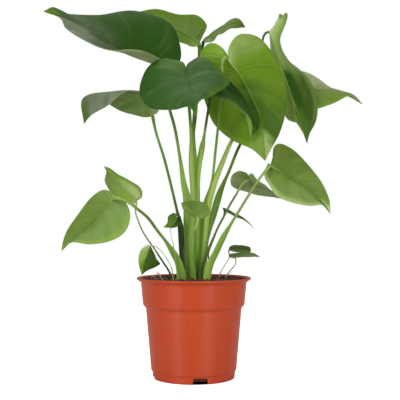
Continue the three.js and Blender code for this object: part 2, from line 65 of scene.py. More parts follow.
# One card for each leaf, in millimetres. The rib runs from the joint with the stalk to the tip. Left and
# right are points along the margin from joint to tip, named as on the upper face with the tip up. The belly
# is how far each half swells. The stalk runs from under the joint into the soil. Its radius is given at the
# blade, at the top of the sheath and at the soil, and the sheath by the shares of the stalk's length at
# which it begins and is full. The edge is how high the sheath's thin edges stand, as a share of the stalk's
# radius.
USUAL_CARD = {"belly": (1, 1), "sheath": (0.4, 0.7), "edge": 0.25}
LARGE_LEAVES = {
    "leaf_upper_left": {
        "belly": (0, 5), "radius": (2.6, 6.8, 5.6), "sheath": (0.38, 0.64), "edge": 0.5,
        "rib": [(-60, 19, 519), (-118, -18, 534), (-175, -47, 568), (-240, -43, 592)],
        "left": [(-55, -7, 523), (-73, -48, 526), (-100, -65, 525), (-137, -72, 526), (-179, -71, 542),
            (-201, -61, 561), (-212, -54, 578)],
        "right": [(-27, 30, 524), (-22, 44, 553), (-43, 55, 598), (-102, 42, 617), (-158, -2, 596),
            (-204, -32, 592), (-224, -41, 599)],
        "stalk": [(-57, 20, 504), (-48, 19, 472), (-40, 18, 443), (-31, 18, 410), (-23, 18, 363),
            (-17, 19, 323), (-11, 20, 289), (-11, 22, 232), (-11, 27, 139)],
    },
    "leaf_upper_back": {
        "belly": (4, 3), "radius": (2.6, 3.8, 4.4), "sheath": (0.42, 0.55),
        "rib": [(9, 86, 571), (-32, 106, 600), (-79, 117, 619), (-126, 123, 619)],
        "left": [(19, 110, 594), (23, 119, 612), (4, 130, 631), (-31, 138, 636), (-71, 142, 645),
            (-103, 134, 638)],
        "right": [(7, 74, 562), (-7, 66, 562), (-22, 66, 566), (-45, 77, 581), (-74, 94, 597),
            (-102, 109, 608)],
        "stalk": [(10, 83, 560), (9, 79, 543), (5, 63, 493), (0, 46, 430), (0, 39, 398), (3, 34, 356),
            (5, 36, 295), (4, 36, 225), (4, 36, 139)],
    },
    "leaf_upper_edge": {
        "belly": (3, 3), "radius": (2.2, 3.0, 4.5), "sheath": (0.42, 0.6),
        "rib": [(17, 115, 580), (46, 129, 600), (72, 141, 618), (95, 151, 614)],
        "left": [(21, 147, 591), (34, 160, 604), (51, 165, 618), (69, 167, 631), (85, 162, 633)],
        "right": [(23, 96, 573), (36, 89, 577), (46, 96, 588), (61, 110, 599), (79, 130, 608)],
        "stalk": [(16, 113, 571), (13, 107, 556), (8, 93, 507), (4, 77, 446), (0, 68, 407), (1, 63, 377),
            (7, 58, 337), (8, 55, 268), (9, 56, 137)],
    },
    "leaf_centre": {
        "belly": (5, 5), "radius": (2.6, 4.2, 6.4), "sheath": (0.28, 0.42),
        "rib": [(-13, -31, 501), (-8, -73, 468), (-3, -111, 438), (3, -124, 411)],
        "left": [(-6, -20, 517), (12, -14, 525), (36, -23, 509), (57, -47, 479), (34, -82, 454),
            (9, -114, 437)],
        "right": [(-20, -20, 517), (-50, -14, 523), (-77, -25, 502), (-87, -50, 464), (-69, -77, 433),
            (-32, -101, 427), (-7, -117, 428)],
        "stalk": [(-12, -24, 496), (-11, -17, 481), (-7, -15, 438), (-4, -16, 392), (-4, -16, 347),
            (-1, -14, 300), (-1, -14, 264), (-4, -13, 221), (-4, -11, 180), (-3, -10, 143)],
    },
    "leaf_centre_right": {
        "belly": (2, 2), "radius": (2.2, 4.2, 4.8), "sheath": (0.27, 0.34), "edge": 0.3,
        "rib": [(30, -12, 495), (55, -28, 469), (79, -37, 438), (92, -35, 392)],
        "left": [(39, -9, 499), (56, -12, 490), (72, -14, 473), (87, -18, 447), (99, -22, 422),
            (105, -27, 406)],
        "right": [(19, -19, 488), (16, -34, 470), (31, -47, 455), (55, -54, 445), (75, -57, 430),
            (92, -49, 413)],
        "stalk": [(30, -8, 487), (28, -8, 472), (25, -8, 448), (18, -7, 403), (14, -5, 377), (9, -3, 350),
            (6, -2, 317), (5, 2, 272), (5, 7, 209), (6, 11, 141)],
    },
    "leaf_large_right": {
        "belly": (5, 5), "radius": (2.2, 5.0, 5.0), "sheath": (0.52, 0.66), "edge": 0.45,
        "rib": [(56, 10, 528), (86, 19, 487), (114, 30, 426), (121, 34, 359)],
        "left": [(48, 12, 546), (27, 18, 555), (10, 23, 536), (8, 27, 495), (19, 32, 459), (34, 37, 423),
            (65, 39, 395), (99, 37, 379)],
        "right": [(61, 14, 551), (77, 18, 570), (110, 25, 566), (137, 32, 535), (154, 35, 490),
            (157, 37, 448), (146, 36, 407), (131, 35, 379)],
        "stalk": [(51, 5, 528), (47, 2, 520), (47, 5, 508), (49, 10, 484), (45, 14, 456), (40, 16, 409),
            (36, 18, 371), (31, 21, 326), (22, 22, 291), (14, 22, 257), (13, 24, 220), (14, 28, 178),
            (15, 31, 139)],
    },
    "leaf_tall_right": {
        "belly": (2, 2), "radius": (1.8, 5.4, 5.4), "sheath": (0.2, 0.75),
        "rib": [(129, 59, 584), (147, 56, 535), (169, 51, 470), (193, 40, 389)],
        "left": [(139, 67, 596), (147, 73, 607), (150, 76, 620), (156, 79, 617), (163, 82, 622),
            (165, 91, 611), (155, 101, 586), (158, 109, 563), (171, 110, 542), (190, 107, 528),
            (206, 101, 510), (217, 87, 472), (213, 71, 434), (199, 54, 407)],
        "right": [(133, 71, 581), (136, 82, 566), (138, 94, 542), (144, 97, 508), (154, 88, 465),
            (163, 77, 438), (171, 71, 430), (179, 63, 426), (187, 51, 410)],
        "stalk": [(125, 61, 583), (121, 65, 578), (119, 70, 564), (114, 74, 512), (96, 69, 450),
            (66, 53, 397), (48, 30, 355), (34, 11, 319), (25, 3, 287), (20, 1, 256), (18, 0, 226),
            (16, 0, 190), (17, 0, 142)],
    },
    "leaf_far_right": {
        "belly": (3, 3), "radius": (2.6, 5.7, 5.2), "sheath": (0.5, 0.63),
        "rib": [(174, 121, 505), (206, 121, 498), (238, 119, 492), (270, 118, 486), (303, 116, 468)],
        "left": [(168, 134, 522), (180, 142, 535), (202, 147, 533), (228, 145, 518), (252, 138, 502),
            (276, 129, 490), (290, 122, 485)],
        "right": [(169, 115, 487), (181, 106, 466), (200, 101, 454), (221, 101, 457), (240, 104, 464),
            (258, 109, 472), (274, 113, 480), (288, 117, 481)],
        "stalk": [(168, 122, 501), (155, 120, 492), (133, 114, 469), (109, 100, 435), (81, 82, 391),
            (62, 67, 346), (46, 56, 309), (34, 50, 269), (25, 49, 242), (19, 48, 215), (18, 48, 177),
            (19, 48, 138)],
    },
    "leaf_middle_left": {
        "belly": (3, 3), "radius": (2.3, 5.2, 4.6), "sheath": (0.54, 0.65),
        "rib": [(-69, 16, 434), (-88, -5, 464), (-145, -14, 468), (-181, -19, 456), (-178, -23, 415)],
        "left": [(-60, 7, 438), (-55, -6, 451), (-66, -21, 463), (-86, -36, 466), (-108, -47, 462),
            (-134, -54, 442), (-162, -44, 427)],
        "right": [(-74, 22, 432), (-91, 30, 434), (-113, 35, 440), (-135, 35, 450), (-158, 24, 459),
            (-174, 4, 448)],
        "stalk": [(-68, 17, 429), (-64, 16, 409), (-58, 14, 389), (-49, 12, 361), (-37, 7, 314),
            (-28, 5, 276), (-22, 4, 249), (-20, 5, 218), (-16, 7, 141)],
    },
    "leaf_lower_left": {
        "belly": (4, 4), "radius": (2.4, 5.0, 8.2), "sheath": (0.54, 0.7), "edge": 0.4,
        "rib": [(-125, -77, 293), (-144, -85, 271), (-173, -92, 242), (-203, -95, 211)],
        "left": [(-130, -74, 303), (-143, -76, 305), (-160, -81, 293), (-177, -87, 269), (-192, -91, 248),
            (-200, -94, 227)],
        "right": [(-114, -69, 292), (-103, -70, 281), (-99, -74, 260), (-108, -80, 239), (-132, -85, 225),
            (-159, -88, 221), (-187, -93, 224)],
        "stalk": [(-119, -81, 293), (-109, -81, 290), (-98, -77, 284), (-88, -71, 276), (-72, -62, 262),
            (-57, -51, 241), (-44, -44, 224), (-33, -37, 206), (-24, -31, 186), (-17, -23, 144)],
    },
    "leaf_lower_left_upper": {
        "belly": (3, 3), "radius": (1.3, 1.7, 3.0), "sheath": (0.5, 0.75),
        "rib": [(-95, 8, 291), (-113, 11, 306), (-133, 15, 327), (-150, 18, 349)],
        "left": [(-88, 15, 297), (-86, 20, 306), (-93, 23, 317), (-109, 27, 326), (-128, 26, 337),
            (-141, 22, 346)],
        "right": [(-101, -2, 284), (-112, -12, 287), (-127, -17, 297), (-140, -12, 308), (-146, -1, 324),
            (-146, 10, 340)],
        "stalk": [(-95, 4, 285), (-96, 1, 271), (-86, -2, 244), (-75, -4, 226), (-65, -5, 212),
            (-52, -4, 192), (-39, -3, 171), (-29, -2, 142)],
    },
    "leaf_lower_right": {
        "belly": (4, 4), "radius": (2.2, 5.2, 7.4), "sheath": (0.46, 0.63),
        "rib": [(123, -37, 346), (152, -46, 327), (184, -54, 305), (216, -56, 269)],
        "left": [(120, -34, 350), (115, -33, 340), (114, -33, 329), (120, -37, 316), (132, -41, 298),
            (156, -45, 287), (182, -49, 281), (205, -54, 282)],
        "right": [(127, -34, 359), (128, -32, 374), (139, -32, 382), (161, -34, 371), (186, -37, 345),
            (204, -43, 319), (215, -51, 292)],
        "stalk": [(118, -42, 341), (107, -44, 328), (93, -43, 307), (74, -39, 276), (60, -35, 253),
            (47, -32, 231), (36, -29, 208), (26, -27, 187), (21, -24, 166), (20, -21, 144)],
    },
    "leaf_curled": {
        "belly": (3, 2), "radius": (1.8, 2.6, 3.4), "sheath": (0.5, 0.65),
        "rib": [(91, 5, 325), (109, 10, 315), (129, 16, 305), (153, 23, 294)],
        "left": [(88, 8, 336), (77, 9, 341), (64, 10, 334), (62, 7, 319), (75, 2, 308), (96, 1, 303),
            (124, 9, 298)],
        "right": [(92, 12, 331), (96, 20, 337), (107, 27, 328), (119, 29, 318), (137, 28, 306)],
        "stalk": [(84, -5, 322), (77, -10, 314), (70, -13, 302), (58, -16, 282), (48, -18, 263),
            (39, -19, 246), (30, -18, 225), (21, -18, 203), (13, -16, 181), (9, -13, 143)],
    },
}

YOUNG_LEAVES = {
    "young_leaf_centre": {
        "radius": (1.2, 1.4, 1.8),
        "rib": [(6, -55, 262), (-1, -61, 271), (-10, -66, 280), (-20, -68, 286)],
        "left": [(-1, -56, 264), (-10, -61, 269), (-17, -64, 276)],
        "right": [(15, -54, 262), (24, -54, 268), (22, -56, 282), (10, -60, 288), (-7, -65, 289)],
        "stalk": [(6, -56, 256), (2, -54, 244), (-3, -51, 233), (-5, -45, 208), (1, -41, 176),
            (3, -36, 145)],
    },
    "young_leaf_round": {
        "radius": (0.8, 0.9, 1.3),
        "rib": [(-26, -55, 265), (-29, -58, 256), (-37, -61, 249), (-48, -63, 247)],
        "left": [(-21, -53, 264), (-20, -55, 255), (-29, -59, 247)],
        "right": [(-31, -52, 270), (-40, -53, 265), (-42, -58, 254)],
        "stalk": [(-29, -52, 256), (-37, -50, 244), (-35, -49, 230), (-32, -46, 216), (-28, -41, 185),
            (-24, -38, 145)],
    },
    "young_leaf_rim_left": {
        "belly": (2, 2), "radius": (0.8, 1.0, 1.5),
        "rib": [(-68, -51, 218), (-73, -58, 205), (-78, -64, 190), (-82, -64, 172)],
        "left": [(-67, -44, 209), (-61, -45, 201), (-58, -47, 193), (-53, -50, 189), (-61, -52, 184),
            (-73, -60, 179)],
        "right": [(-74, -54, 219), (-83, -59, 212), (-87, -63, 197), (-85, -65, 183)],
        "stalk": [(-65, -47, 218), (-57, -44, 214), (-50, -41, 207), (-42, -40, 195), (-35, -39, 180),
            (-32, -36, 145)],
    },
    "young_leaf_slim": {
        "radius": (1.0, 1.3, 2.0),
        "rib": [(50, 39, 279), (65, 34, 270), (83, 30, 261), (101, 26, 246)],
        "left": [(55, 49, 279), (69, 49, 271), (86, 40, 262)],
        "right": [(54, 25, 273), (69, 21, 265), (87, 22, 257)],
        "stalk": [(52, 35, 274), (50, 32, 265), (41, 30, 246), (32, 29, 224), (25, 28, 203), (26, 28, 183),
            (27, 29, 139)],
    },
    "young_leaf_rim_upper": {
        "radius": (0.9, 1.1, 1.5),
        "rib": [(61, 54, 209), (72, 51, 209), (84, 48, 208), (98, 47, 205)],
        "left": [(62, 62, 213), (72, 65, 216), (85, 64, 215), (96, 57, 213)],
        "right": [(61, 45, 207), (70, 40, 205), (82, 39, 204), (93, 42, 203)],
        "stalk": [(60, 55, 206), (61, 54, 194), (52, 49, 180), (43, 44, 162), (40, 44, 138)],
    },
    "young_leaf_rim_lower": {
        "radius": (0.9, 1.1, 1.5),
        "rib": [(58, -5, 201), (74, -11, 202), (90, -15, 203), (108, -19, 199)],
        "left": [(60, 7, 202), (71, 14, 204), (86, 12, 205), (99, -1, 204)],
        "right": [(58, -17, 199), (69, -26, 198), (84, -29, 199), (98, -26, 199)],
        "stalk": [(60, -3, 198), (69, 4, 195), (69, 10, 185), (61, 17, 174), (54, 22, 162), (52, 26, 139)],
    },
}

# Greens and the other tones that the leaves are described with. The sheen tone and the silvery grey-green
# paint a glossy sheen, and the shade tone also paints shade.
PALETTE = {
    "shade": "1c380c", "deep": "2a5014", "forest": "345a22", "dusk": "405a1c", "leaf": "4a6e20",
    "grass": "5a7e20", "moss": "60782e", "olive": "708a3c", "fresh": "74a030", "sage": "809c52",
    "lime": "90b04e", "pale": "b0c67a", "cream": "d6deb8", "slate": "485a38", "ash": "808a5e",
    "sheen": "727e66", "vivid": "6a8c1e", "acid": "98c048", "silver": "a0ae7c", "straw": "b6d062",
}

# How each leaf looks. Each face has its left half, then its right half. A half is told by one tone, by four
# from the joint to the tip, or by six, where the last two lie beside the midrib and beside the margin and a
# dash means none. Besides the leaves' own greens the tones carry painted light: the sheen tone and the
# silvery grey-green paint a glossy sheen, darker tones beside some midribs paint shade, and dark tones on
# some stalks paint their shadow. The midrib has a tone at the joint and one at the tip. The stalk has tones
# under the blade, over the sheath, on the sheath, at the soil and along the sheath's thin edges. Veins is how
# clearly the side veins show, and streaks how clearly painted streaks of sheen and of shade run beside them.
LEAF_LOOKS = {
    # The sheen tones along the upper face's near margin, the slate beside its midrib and the silvery tones on
    # the under face paint a glossy sheen
    "leaf_upper_left": {
        "upper": ("deep slate sheen grass slate sheen", "deep deep slate grass"),
        "under": ("silver silver olive olive - pale", "olive"),
        "rib": "deep slate", "stalk": "leaf grass acid acid pale", "veins": 0.1, "streaks": 0.25},
    "leaf_upper_back": {
        "upper": ("leaf", "leaf"),
        "under": ("leaf moss grass grass - grass", "sage grass grass grass - olive"),
        "rib": "fresh olive", "stalk": "grass grass fresh fresh leaf", "veins": 0.2, "streaks": 0.2},
    "leaf_upper_edge": {
        "upper": ("moss moss moss slate", "sage moss moss moss"), "under": ("olive", "olive"),
        "rib": "slate moss", "stalk": "leaf leaf acid fresh lime", "veins": 0.1, "streaks": 0.2},
    "leaf_centre": {
        "upper": ("slate forest forest leaf - leaf", "leaf forest forest leaf"), "under": ("moss", "moss"),
        "rib": "lime forest", "stalk": "moss grass lime fresh lime", "veins": 0.2, "streaks": 0.3},
    # The shade tones on the upper face paint shade over the leaf's own dark green
    "leaf_centre_right": {
        "upper": ("shade shade deep fresh", "deep deep deep fresh - moss"),
        "under": ("fresh fresh lime lime", "fresh fresh lime lime"),
        "rib": "shade dusk", "stalk": "leaf dusk acid acid lime", "veins": 0.1, "streaks": 0.1},
    # Beside the midrib of the under face's left half, dusk is the painted shadow that leaf_centre_right
    # casts, and the lighter tones at the top paint the light that falls there
    "leaf_large_right": {
        "upper": ("leaf", "leaf"),
        "under": ("acid vivid vivid lime dusk fresh", "pale vivid leaf pale leaf -"),
        "rib": "pale fresh", "stalk": "lime fresh acid acid cream", "veins": 0.7, "streaks": 0.25},
    # Cream at the joint paints the light that shines through the blade's neck, and deep beside the midrib of
    # the upper face's left half paints shade
    "leaf_tall_right": {
        "upper": ("cream lime dusk leaf deep olive", "cream pale lime leaf"),
        "under": ("olive ash ash ash", "olive ash ash ash"),
        "rib": "pale fresh", "stalk": "leaf straw straw acid pale", "veins": 0.15, "streaks": 0.25},
    # The silvery tones on the upper face's left half paint a glossy sheen
    "leaf_far_right": {
        "upper": ("silver silver ash ash", "moss olive olive ash - fresh"), "under": ("olive", "olive"),
        "rib": "shade dusk", "stalk": "grass grass fresh fresh lime", "veins": 0.3, "streaks": 0.25},
    # The silvery and sheen tones paint a glossy sheen, and shade and deep on the sheath and at the soil paint
    # the stalk's shadow
    "leaf_middle_left": {
        "upper": ("silver silver sheen leaf", "silver silver slate slate"),
        "under": ("silver ash olive olive", "olive sage sage sage"),
        "rib": "lime olive", "stalk": "fresh grass shade deep forest", "veins": 0.5, "streaks": 1.0},
    "leaf_lower_left": {
        "upper": ("leaf", "leaf"), "under": ("sage olive olive lime", "sage sage sage lime olive lime"),
        "rib": "lime olive", "stalk": "lime grass fresh fresh lime", "veins": 0.25, "streaks": 0.25},
    "leaf_lower_left_upper": {
        "upper": ("leaf", "leaf"), "under": ("pale pale lime lime - olive", "pale lime sage sage"),
        "rib": "lime sage", "stalk": "pale lime dusk dusk leaf", "veins": 0.15, "streaks": 0.2},
    "leaf_lower_right": {
        "upper": ("leaf", "leaf"), "under": ("moss olive sage pale - pale", "moss moss olive pale"),
        "rib": "lime moss", "stalk": "lime sage fresh acid pale", "veins": 0.25, "streaks": 0.4},
    # The silvery tones on the under face paint a glossy sheen
    "leaf_curled": {
        "upper": ("slate", "slate"), "under": ("moss ash silver silver", "silver pale silver silver"),
        "rib": "ash ash", "stalk": "lime moss moss moss leaf", "veins": 0.15, "streaks": 0.3},
    "young_leaf_centre": {
        "upper": ("sage olive olive olive", "lime olive moss moss"), "under": ("olive", "olive"),
        "rib": "pale olive", "stalk": "pale sage fresh fresh fresh", "veins": 0.5, "streaks": 0.4},
    "young_leaf_round": {
        "upper": ("shade shade dusk moss", "leaf leaf moss moss"),
        "under": ("moss moss olive olive", "moss moss olive olive"),
        "rib": "leaf moss", "stalk": "cream cream lime lime lime", "veins": 0.1, "streaks": 0.2},
    "young_leaf_rim_left": {
        "upper": ("dusk", "cream lime vivid lime"), "under": ("grass", "grass"),
        "rib": "grass leaf", "stalk": "cream cream lime lime lime", "veins": 0.1, "streaks": 0.2},
    "young_leaf_slim": {
        "upper": ("leaf leaf moss moss", "leaf leaf moss moss"), "under": ("moss", "moss"),
        "rib": "moss moss", "stalk": "moss moss moss moss moss", "veins": 0.1, "streaks": 0.15},
    "young_leaf_rim_upper": {
        "upper": ("dusk", "leaf leaf moss moss"), "under": ("slate", "slate"),
        "rib": "dusk leaf", "stalk": "cream cream cream pale pale", "veins": 0.1, "streaks": 0.15},
    "young_leaf_rim_lower": {
        "upper": ("leaf moss moss moss", "moss moss ash ash"), "under": ("slate", "slate"),
        "rib": "moss moss", "stalk": "cream pale pale pale pale", "veins": 0.1, "streaks": 0.15},
}

# Dry bits on the soil and between the sheaths: start, middle and end, radius and tone from brown to straw
DRY_BITS = [
    ([(-65, 36, 163), (-60, 30, 170), (-54, 22, 162)], 0.7, 0.95),
    ([(-70, -20, 164), (-66, -24, 168), (-60, -30, 163)], 0.5, 0.9),
    ([(-60, -38, 178), (-55, -41, 171), (-48, -44, 161)], 0.6, 1.0),
    ([(-17, -17, 216), (-16, -18, 196), (-13, -19, 168)], 1.0, 0.3),
    ([(-15, -19, 206), (-14, -20, 190), (-12, -21, 166)], 0.6, 0.5),
]

# Blades: how the columns crowd towards the midrib, how far the side veins bend, the waves along the margin
# and the shares of the blade over which they begin and end, the widths in millimetres of the groove over the
# midrib and of the ridge below it, how much the ridge loses towards the tip, and from where on and by how
# much the margin is thinner
CROWDING = 1.5
VEIN_BEND = 0.06
WAVES = 3.5
WAVE_BEGIN, WAVE_END = 0.15, 0.25
GROOVE_WIDTH = 2.2
RIDGE_WIDTH = 1.8
RIDGE_LOSS = 0.8
MARGIN_START, MARGIN_LOSS = 0.9, 0.6

# Stalks: the knee's height as a share, its place and its width in millimetres, then the turn in radians at
# which the sheath's edges stand beside the groove, the widths of the edges and of their tone, the width of
# the groove and its depths as shares, and from where on and by how much the sheath's form fades at the soil
KNEE_HEIGHT, KNEE_PLACE, KNEE_WIDTH = 0.3, 6, 9
EDGE_TURN = 0.95
EDGE_WIDTH, EDGE_TONE_WIDTH = 0.2, 0.16
GROOVE_TURN = 0.55
GROOVE_DEPTH, SHEATH_DEPTH = 0.1, 0.08
SHEATH_END, SHEATH_LOSS = 0.8, 0.6

# The pot, in millimetres: the reach of its rounded corners, the slope above its foot, the lip's width, the
# room round the soil and how far a cutter reaches past what it cuts. Edges over the angle stay sharp.
CORNER_REACH = 1.2
FOOT_SLOPE = 2.5
LIP_WIDTH = 4.8
SOIL_ROOM = 0.3
OVERRUN = 3
SHARP_ANGLE = math.radians(35)

# The middle of the pot's wall in metres: its radius at the ground, its lean, and the lip's level and lean
WALL_START, WALL_LEAN = 0.0738, 0.076
LIP_LEVEL, LIP_LEAN = 0.1564, 0.58

# Levels in metres where the stain and painted shade inside the wall begin, and those where they end
STAIN_AND_SHADE_BEGIN, STAIN_AND_SHADE_END = (0.140, 0.150), (0.161, 0.1635)

# The soil's lumps in millimetres: their height, the lattice's cell, its number of octaves, and a shift that
# moves the lattice's corner away from the pot
LUMP_HEIGHT, LUMP_CELL, LUMP_OCTAVES, LUMP_SHIFT = 1.3, 14, 4, 200

# Crumbs and fibres: their sizes in millimetres, how much a crumb is stretched, the tones of both kinds, how
# far one tips in radians and how far it is lifted out of the soil as a share of its size
CRUMB_RADIUS, CRUMB_STRETCH, CRUMB_TONES = (0.6, 2.6), (0.6, 1.3), (0, 0.88)
FIBRE_LENGTH, FIBRE_WIDTH, FIBRE_TONES = (3, 7), (0.3, 0.6), (0.8, 1)
CRUMB_TIP, CRUMB_RISE = 0.35, 0.3

# Radius in metres inside which the floor is painted dark as the pot's shadow and doesn't glow
UNDER_POT = 0.067

# Place and size in metres and the setting that holds the power of each light, and what all are aimed at
LIGHTS = {
    "left_light": ((-1.2, -1.38, 0.7), (0.85, 1.6), "side_power"),
    "right_light": ((1.0, -1.52, 0.6), (0.75, 1.6), "side_power"),
    "top_light": ((-0.2, 0.3, 1.9), (1.4, 1.0), "top_power"),
}
LIGHT_TARGET = (0, 0, 0.33)

# The young leaves' own settings: thinner, smoother and in fewer steps
YOUNG_SETTINGS = {
    "rows": 36, "columns": 10, "veins": 4, "stalk_steps": 48, "stalk_sides": 20, "thickness": 0.5 * MM,
    "swell": 0.2 * MM, "groove": 0.4 * MM, "wave": 0.3 * MM, "rib": 0.4 * MM,
}


def curve(points, place):
    """Points on the smooth curve through the given ones, at places from 0 to 1 along it. Between two
    neighbours b and c, with a before and d after, it is half of
    2b + (c - a)f + (2a - 5b + 4c - d)f^2 + (3b - a - 3c + d)f^3, where f runs from 0 at b to 1 at c."""
    known = np.asarray(points, float)
    known = np.vstack([2 * known[0] - known[1], known, 2 * known[-1] - known[-2]])
    spans = len(known) - 3
    along = np.clip(place, 0, 1) * spans
    index = np.minimum(along.astype(int), spans - 1)
    f = (along - index)[..., None]
    a, b, c, d = (known[index + k] for k in range(4))
    return 0.5 * (2 * b + (c - a) * f + (2 * a - 5 * b + 4 * c - d) * f**2 + (3 * b - a - 3 * c + d) * f**3)


def unit(vectors):
    """Vectors of length 1 in the same directions."""
    return vectors / np.maximum(np.linalg.norm(vectors, axis=-1, keepdims=True), 1e-9)


def direction(points, place, step=1e-3):
    """The way that the smooth curve runs, from a small step before each place to one after it."""
    return unit(curve(points, place + step) - curve(points, place - step))


def smooth_step(value, low, high):
    """0 below low, 1 above high, and 3t^2 - 2t^3 between them."""
    t = np.clip((value - low) / (high - low), 0, 1)
    return t * t * (3 - 2 * t)


def hump(value, width):
    """A bell of height 1 round zero: e to the minus (value / width) squared."""
    return np.exp(-((value / width) ** 2))


def round_angles(count):
    """Evenly spaced angles round a circle."""
    return np.linspace(0, 2 * math.pi, count, endpoint=False)


def grid_faces(rows, columns, closed=False):
    """Four corners of each cell of a grid of points numbered row by row, joined round if closed."""
    row = np.arange(rows - 1)[:, None] * columns
    column = np.arange(columns if closed else columns - 1)[None, :]
    onward = (column + 1) % columns
    corners = [row + column, row + onward, row + columns + onward, row + columns + column]
    return np.stack(corners, -1).reshape(-1, 4)


def fan_faces(centre, ring, outward=True):
    """Triangles from one point to each step of a ring of points, closed round if the ring is."""
    a, b = ring[:-1], ring[1:]
    pair = (a, b) if outward else (b, a)
    return np.stack([np.full(len(a), centre), *pair], -1)


def closed_tube(points, centre, facts):
    """The points, faces and attributes of a tube of rings, closed by a point at each end of its centre."""
    rows, sides = points.shape[:2]
    first = np.append(np.arange(sides), 0)
    last = first + (rows - 1) * sides
    start, end = rows * sides, rows * sides + 1
    triangles = np.concatenate([fan_faces(start, first, outward=False), fan_faces(end, last)])
    attributes = {key: np.append(values, values[[0, -1], 0]) for key, values in facts.items()}
    points = np.concatenate([points.reshape(-1, 3), centre[[0, -1]]])
    return points, grid_faces(rows, sides, closed=True), triangles, attributes


def link(name, data):
    """An object of the given data in the scene."""
    made = bpy.data.objects.new(name, data)
    bpy.context.scene.collection.objects.link(made)
    return made


def make_piece(name, points, quads, triangles=(), attributes=None, smooth=True):
    """A mesh object of the given points in millimetres, with its four-sided faces, then its triangles."""
    mesh = bpy.data.meshes.new(name)
    points = np.asarray(points, float).reshape(-1, 3) * MM
    quads = np.asarray(quads, np.int32).reshape(-1, 4)
    triangles = np.asarray(triangles, np.int32).reshape(-1, 3)
    sizes = np.repeat([4, 3], [len(quads), len(triangles)])
    mesh.vertices.add(len(points))
    mesh.vertices.foreach_set("co", points.ravel())
    mesh.loops.add(int(sizes.sum()))
    mesh.loops.foreach_set("vertex_index", np.concatenate([quads.ravel(), triangles.ravel()]))
    mesh.polygons.add(len(sizes))
    mesh.polygons.foreach_set("loop_start", (np.cumsum(sizes) - sizes).astype(np.int32))
    mesh.polygons.foreach_set("use_smooth", np.full(len(sizes), smooth))
    for key, values in (attributes or {}).items():
        layer = mesh.attributes.new(key, "FLOAT", "POINT")
        layer.data.foreach_set("value", np.asarray(values, np.float32).ravel())
    mesh.update(calc_edges=True)
    mesh.validate()
    return link(name, mesh)


def settle(piece, slot, material, *nodes):
    """Gives a piece its material and its body and hides the nodes that it stands for; the slot is not used.
    """
    piece.data.materials.append(material)
    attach(piece, BODY)
    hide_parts(*nodes)
    return piece


def blade_half(card, side, rows, columns):
    """One half of a blade's middle surface, as rows from joint to tip and columns from midrib to margin,
    with each point's share of the way across and its row's width. Row a leaves the midrib at a squared of
    its length and ends on the margin at a, so the rows fan out round the lobe as veins do. The belly lifts
    each row by 4b(1 - b) of itself, less on short rows."""
    rib = np.asarray(card["rib"], float)
    margin = np.vstack([rib[0], card[side], rib[-1]])
    a = np.linspace(0, 1, rows + 1)
    b = (np.linspace(0, 1, columns + 1) ** CROWDING)[None, :, None]
    start = curve(rib, a**2)[:, None]
    reach = curve(margin, a)[:, None] - start
    along = direction(rib, a**2)[:, None]
    up = unit(np.cross(along, reach) if side == "left" else np.cross(reach, along))
    width = np.linalg.norm(reach, axis=-1, keepdims=True)
    lift = card["belly"][0 if side == "left" else 1] * 4 * b * (1 - b) * width / width.max()
    grid = (rows + 1, columns + 1)
    b_grid, width_grid = (np.broadcast_to(values[..., 0], grid) for values in (b, width))
    return start + reach * b + up * lift, b_grid, width_grid


def surface_normals(points):
    """Normals of a grid surface: the cross product of its two directions, taken over the neighbours. The
    first and last rows, which are single points, take those of the rows beside them."""
    normal = unit(np.cross(np.gradient(points, axis=1), np.gradient(points, axis=0)))
    normal[0] = unit(normal[1].mean(0))
    normal[-1] = unit(normal[-2].mean(0))
    return normal


def blade_points(card, leaf, phase):
    """A blade's upper and under surfaces and what its material reads at each point. Both halves meet at the
    midrib. Along the normal the surface swells between the side veins, dips along the midrib and waves a
    little at the margin, and the midrib stands out below. Both fade towards the tip, and the margin is
    thinner."""
    halves = [blade_half(card, side, leaf.rows, leaf.columns) for side in ("left", "right")]
    middle, b, width = (np.concatenate([left[:, :0:-1], right], 1) for left, right in zip(*halves))
    a = np.broadcast_to(np.linspace(0, 1, leaf.rows + 1)[:, None], b.shape)
    vein = leaf.veins * (a - VEIN_BEND * b**2)
    from_rib = b * width
    normal = surface_normals(middle)
    swell = leaf.swell * np.sqrt(4 * b * (1 - b)) * np.abs(np.sin(math.pi * vein)) * width / width.max()
    groove = leaf.groove * hump(from_rib, GROOVE_WIDTH) * (1 - a)
    wave = leaf.wave * b**3 * np.sin(2 * math.pi * (WAVES * a + phase))
    wave = wave * smooth_step(a, 0, WAVE_BEGIN) * smooth_step(1 - a, 0, WAVE_END)
    middle = middle + normal * (swell - groove + wave)[..., None]
    normal = surface_normals(middle)
    rib = leaf.rib * hump(from_rib, RIDGE_WIDTH) * (1 - RIDGE_LOSS * a)
    thick = leaf.thickness / 2 * (1 - MARGIN_LOSS * smooth_step(b, MARGIN_START, 1))
    gap = np.linalg.norm(np.gradient(middle, axis=0), axis=-1) * leaf.rows / leaf.veins
    side = np.sign(np.arange(2 * leaf.columns + 1) - leaf.columns)
    facts = {
        "along": a,
        "across": b,
        "half": np.broadcast_to((1 + side) / 2, b.shape),
        "vein": vein,
        "vein_gap": np.maximum(gap, 0.5),
        "from_rib": from_rib,
        "from_margin": (1 - b) * width,
    }
    return middle + normal * thick[..., None], middle - normal * (thick + rib)[..., None], facts


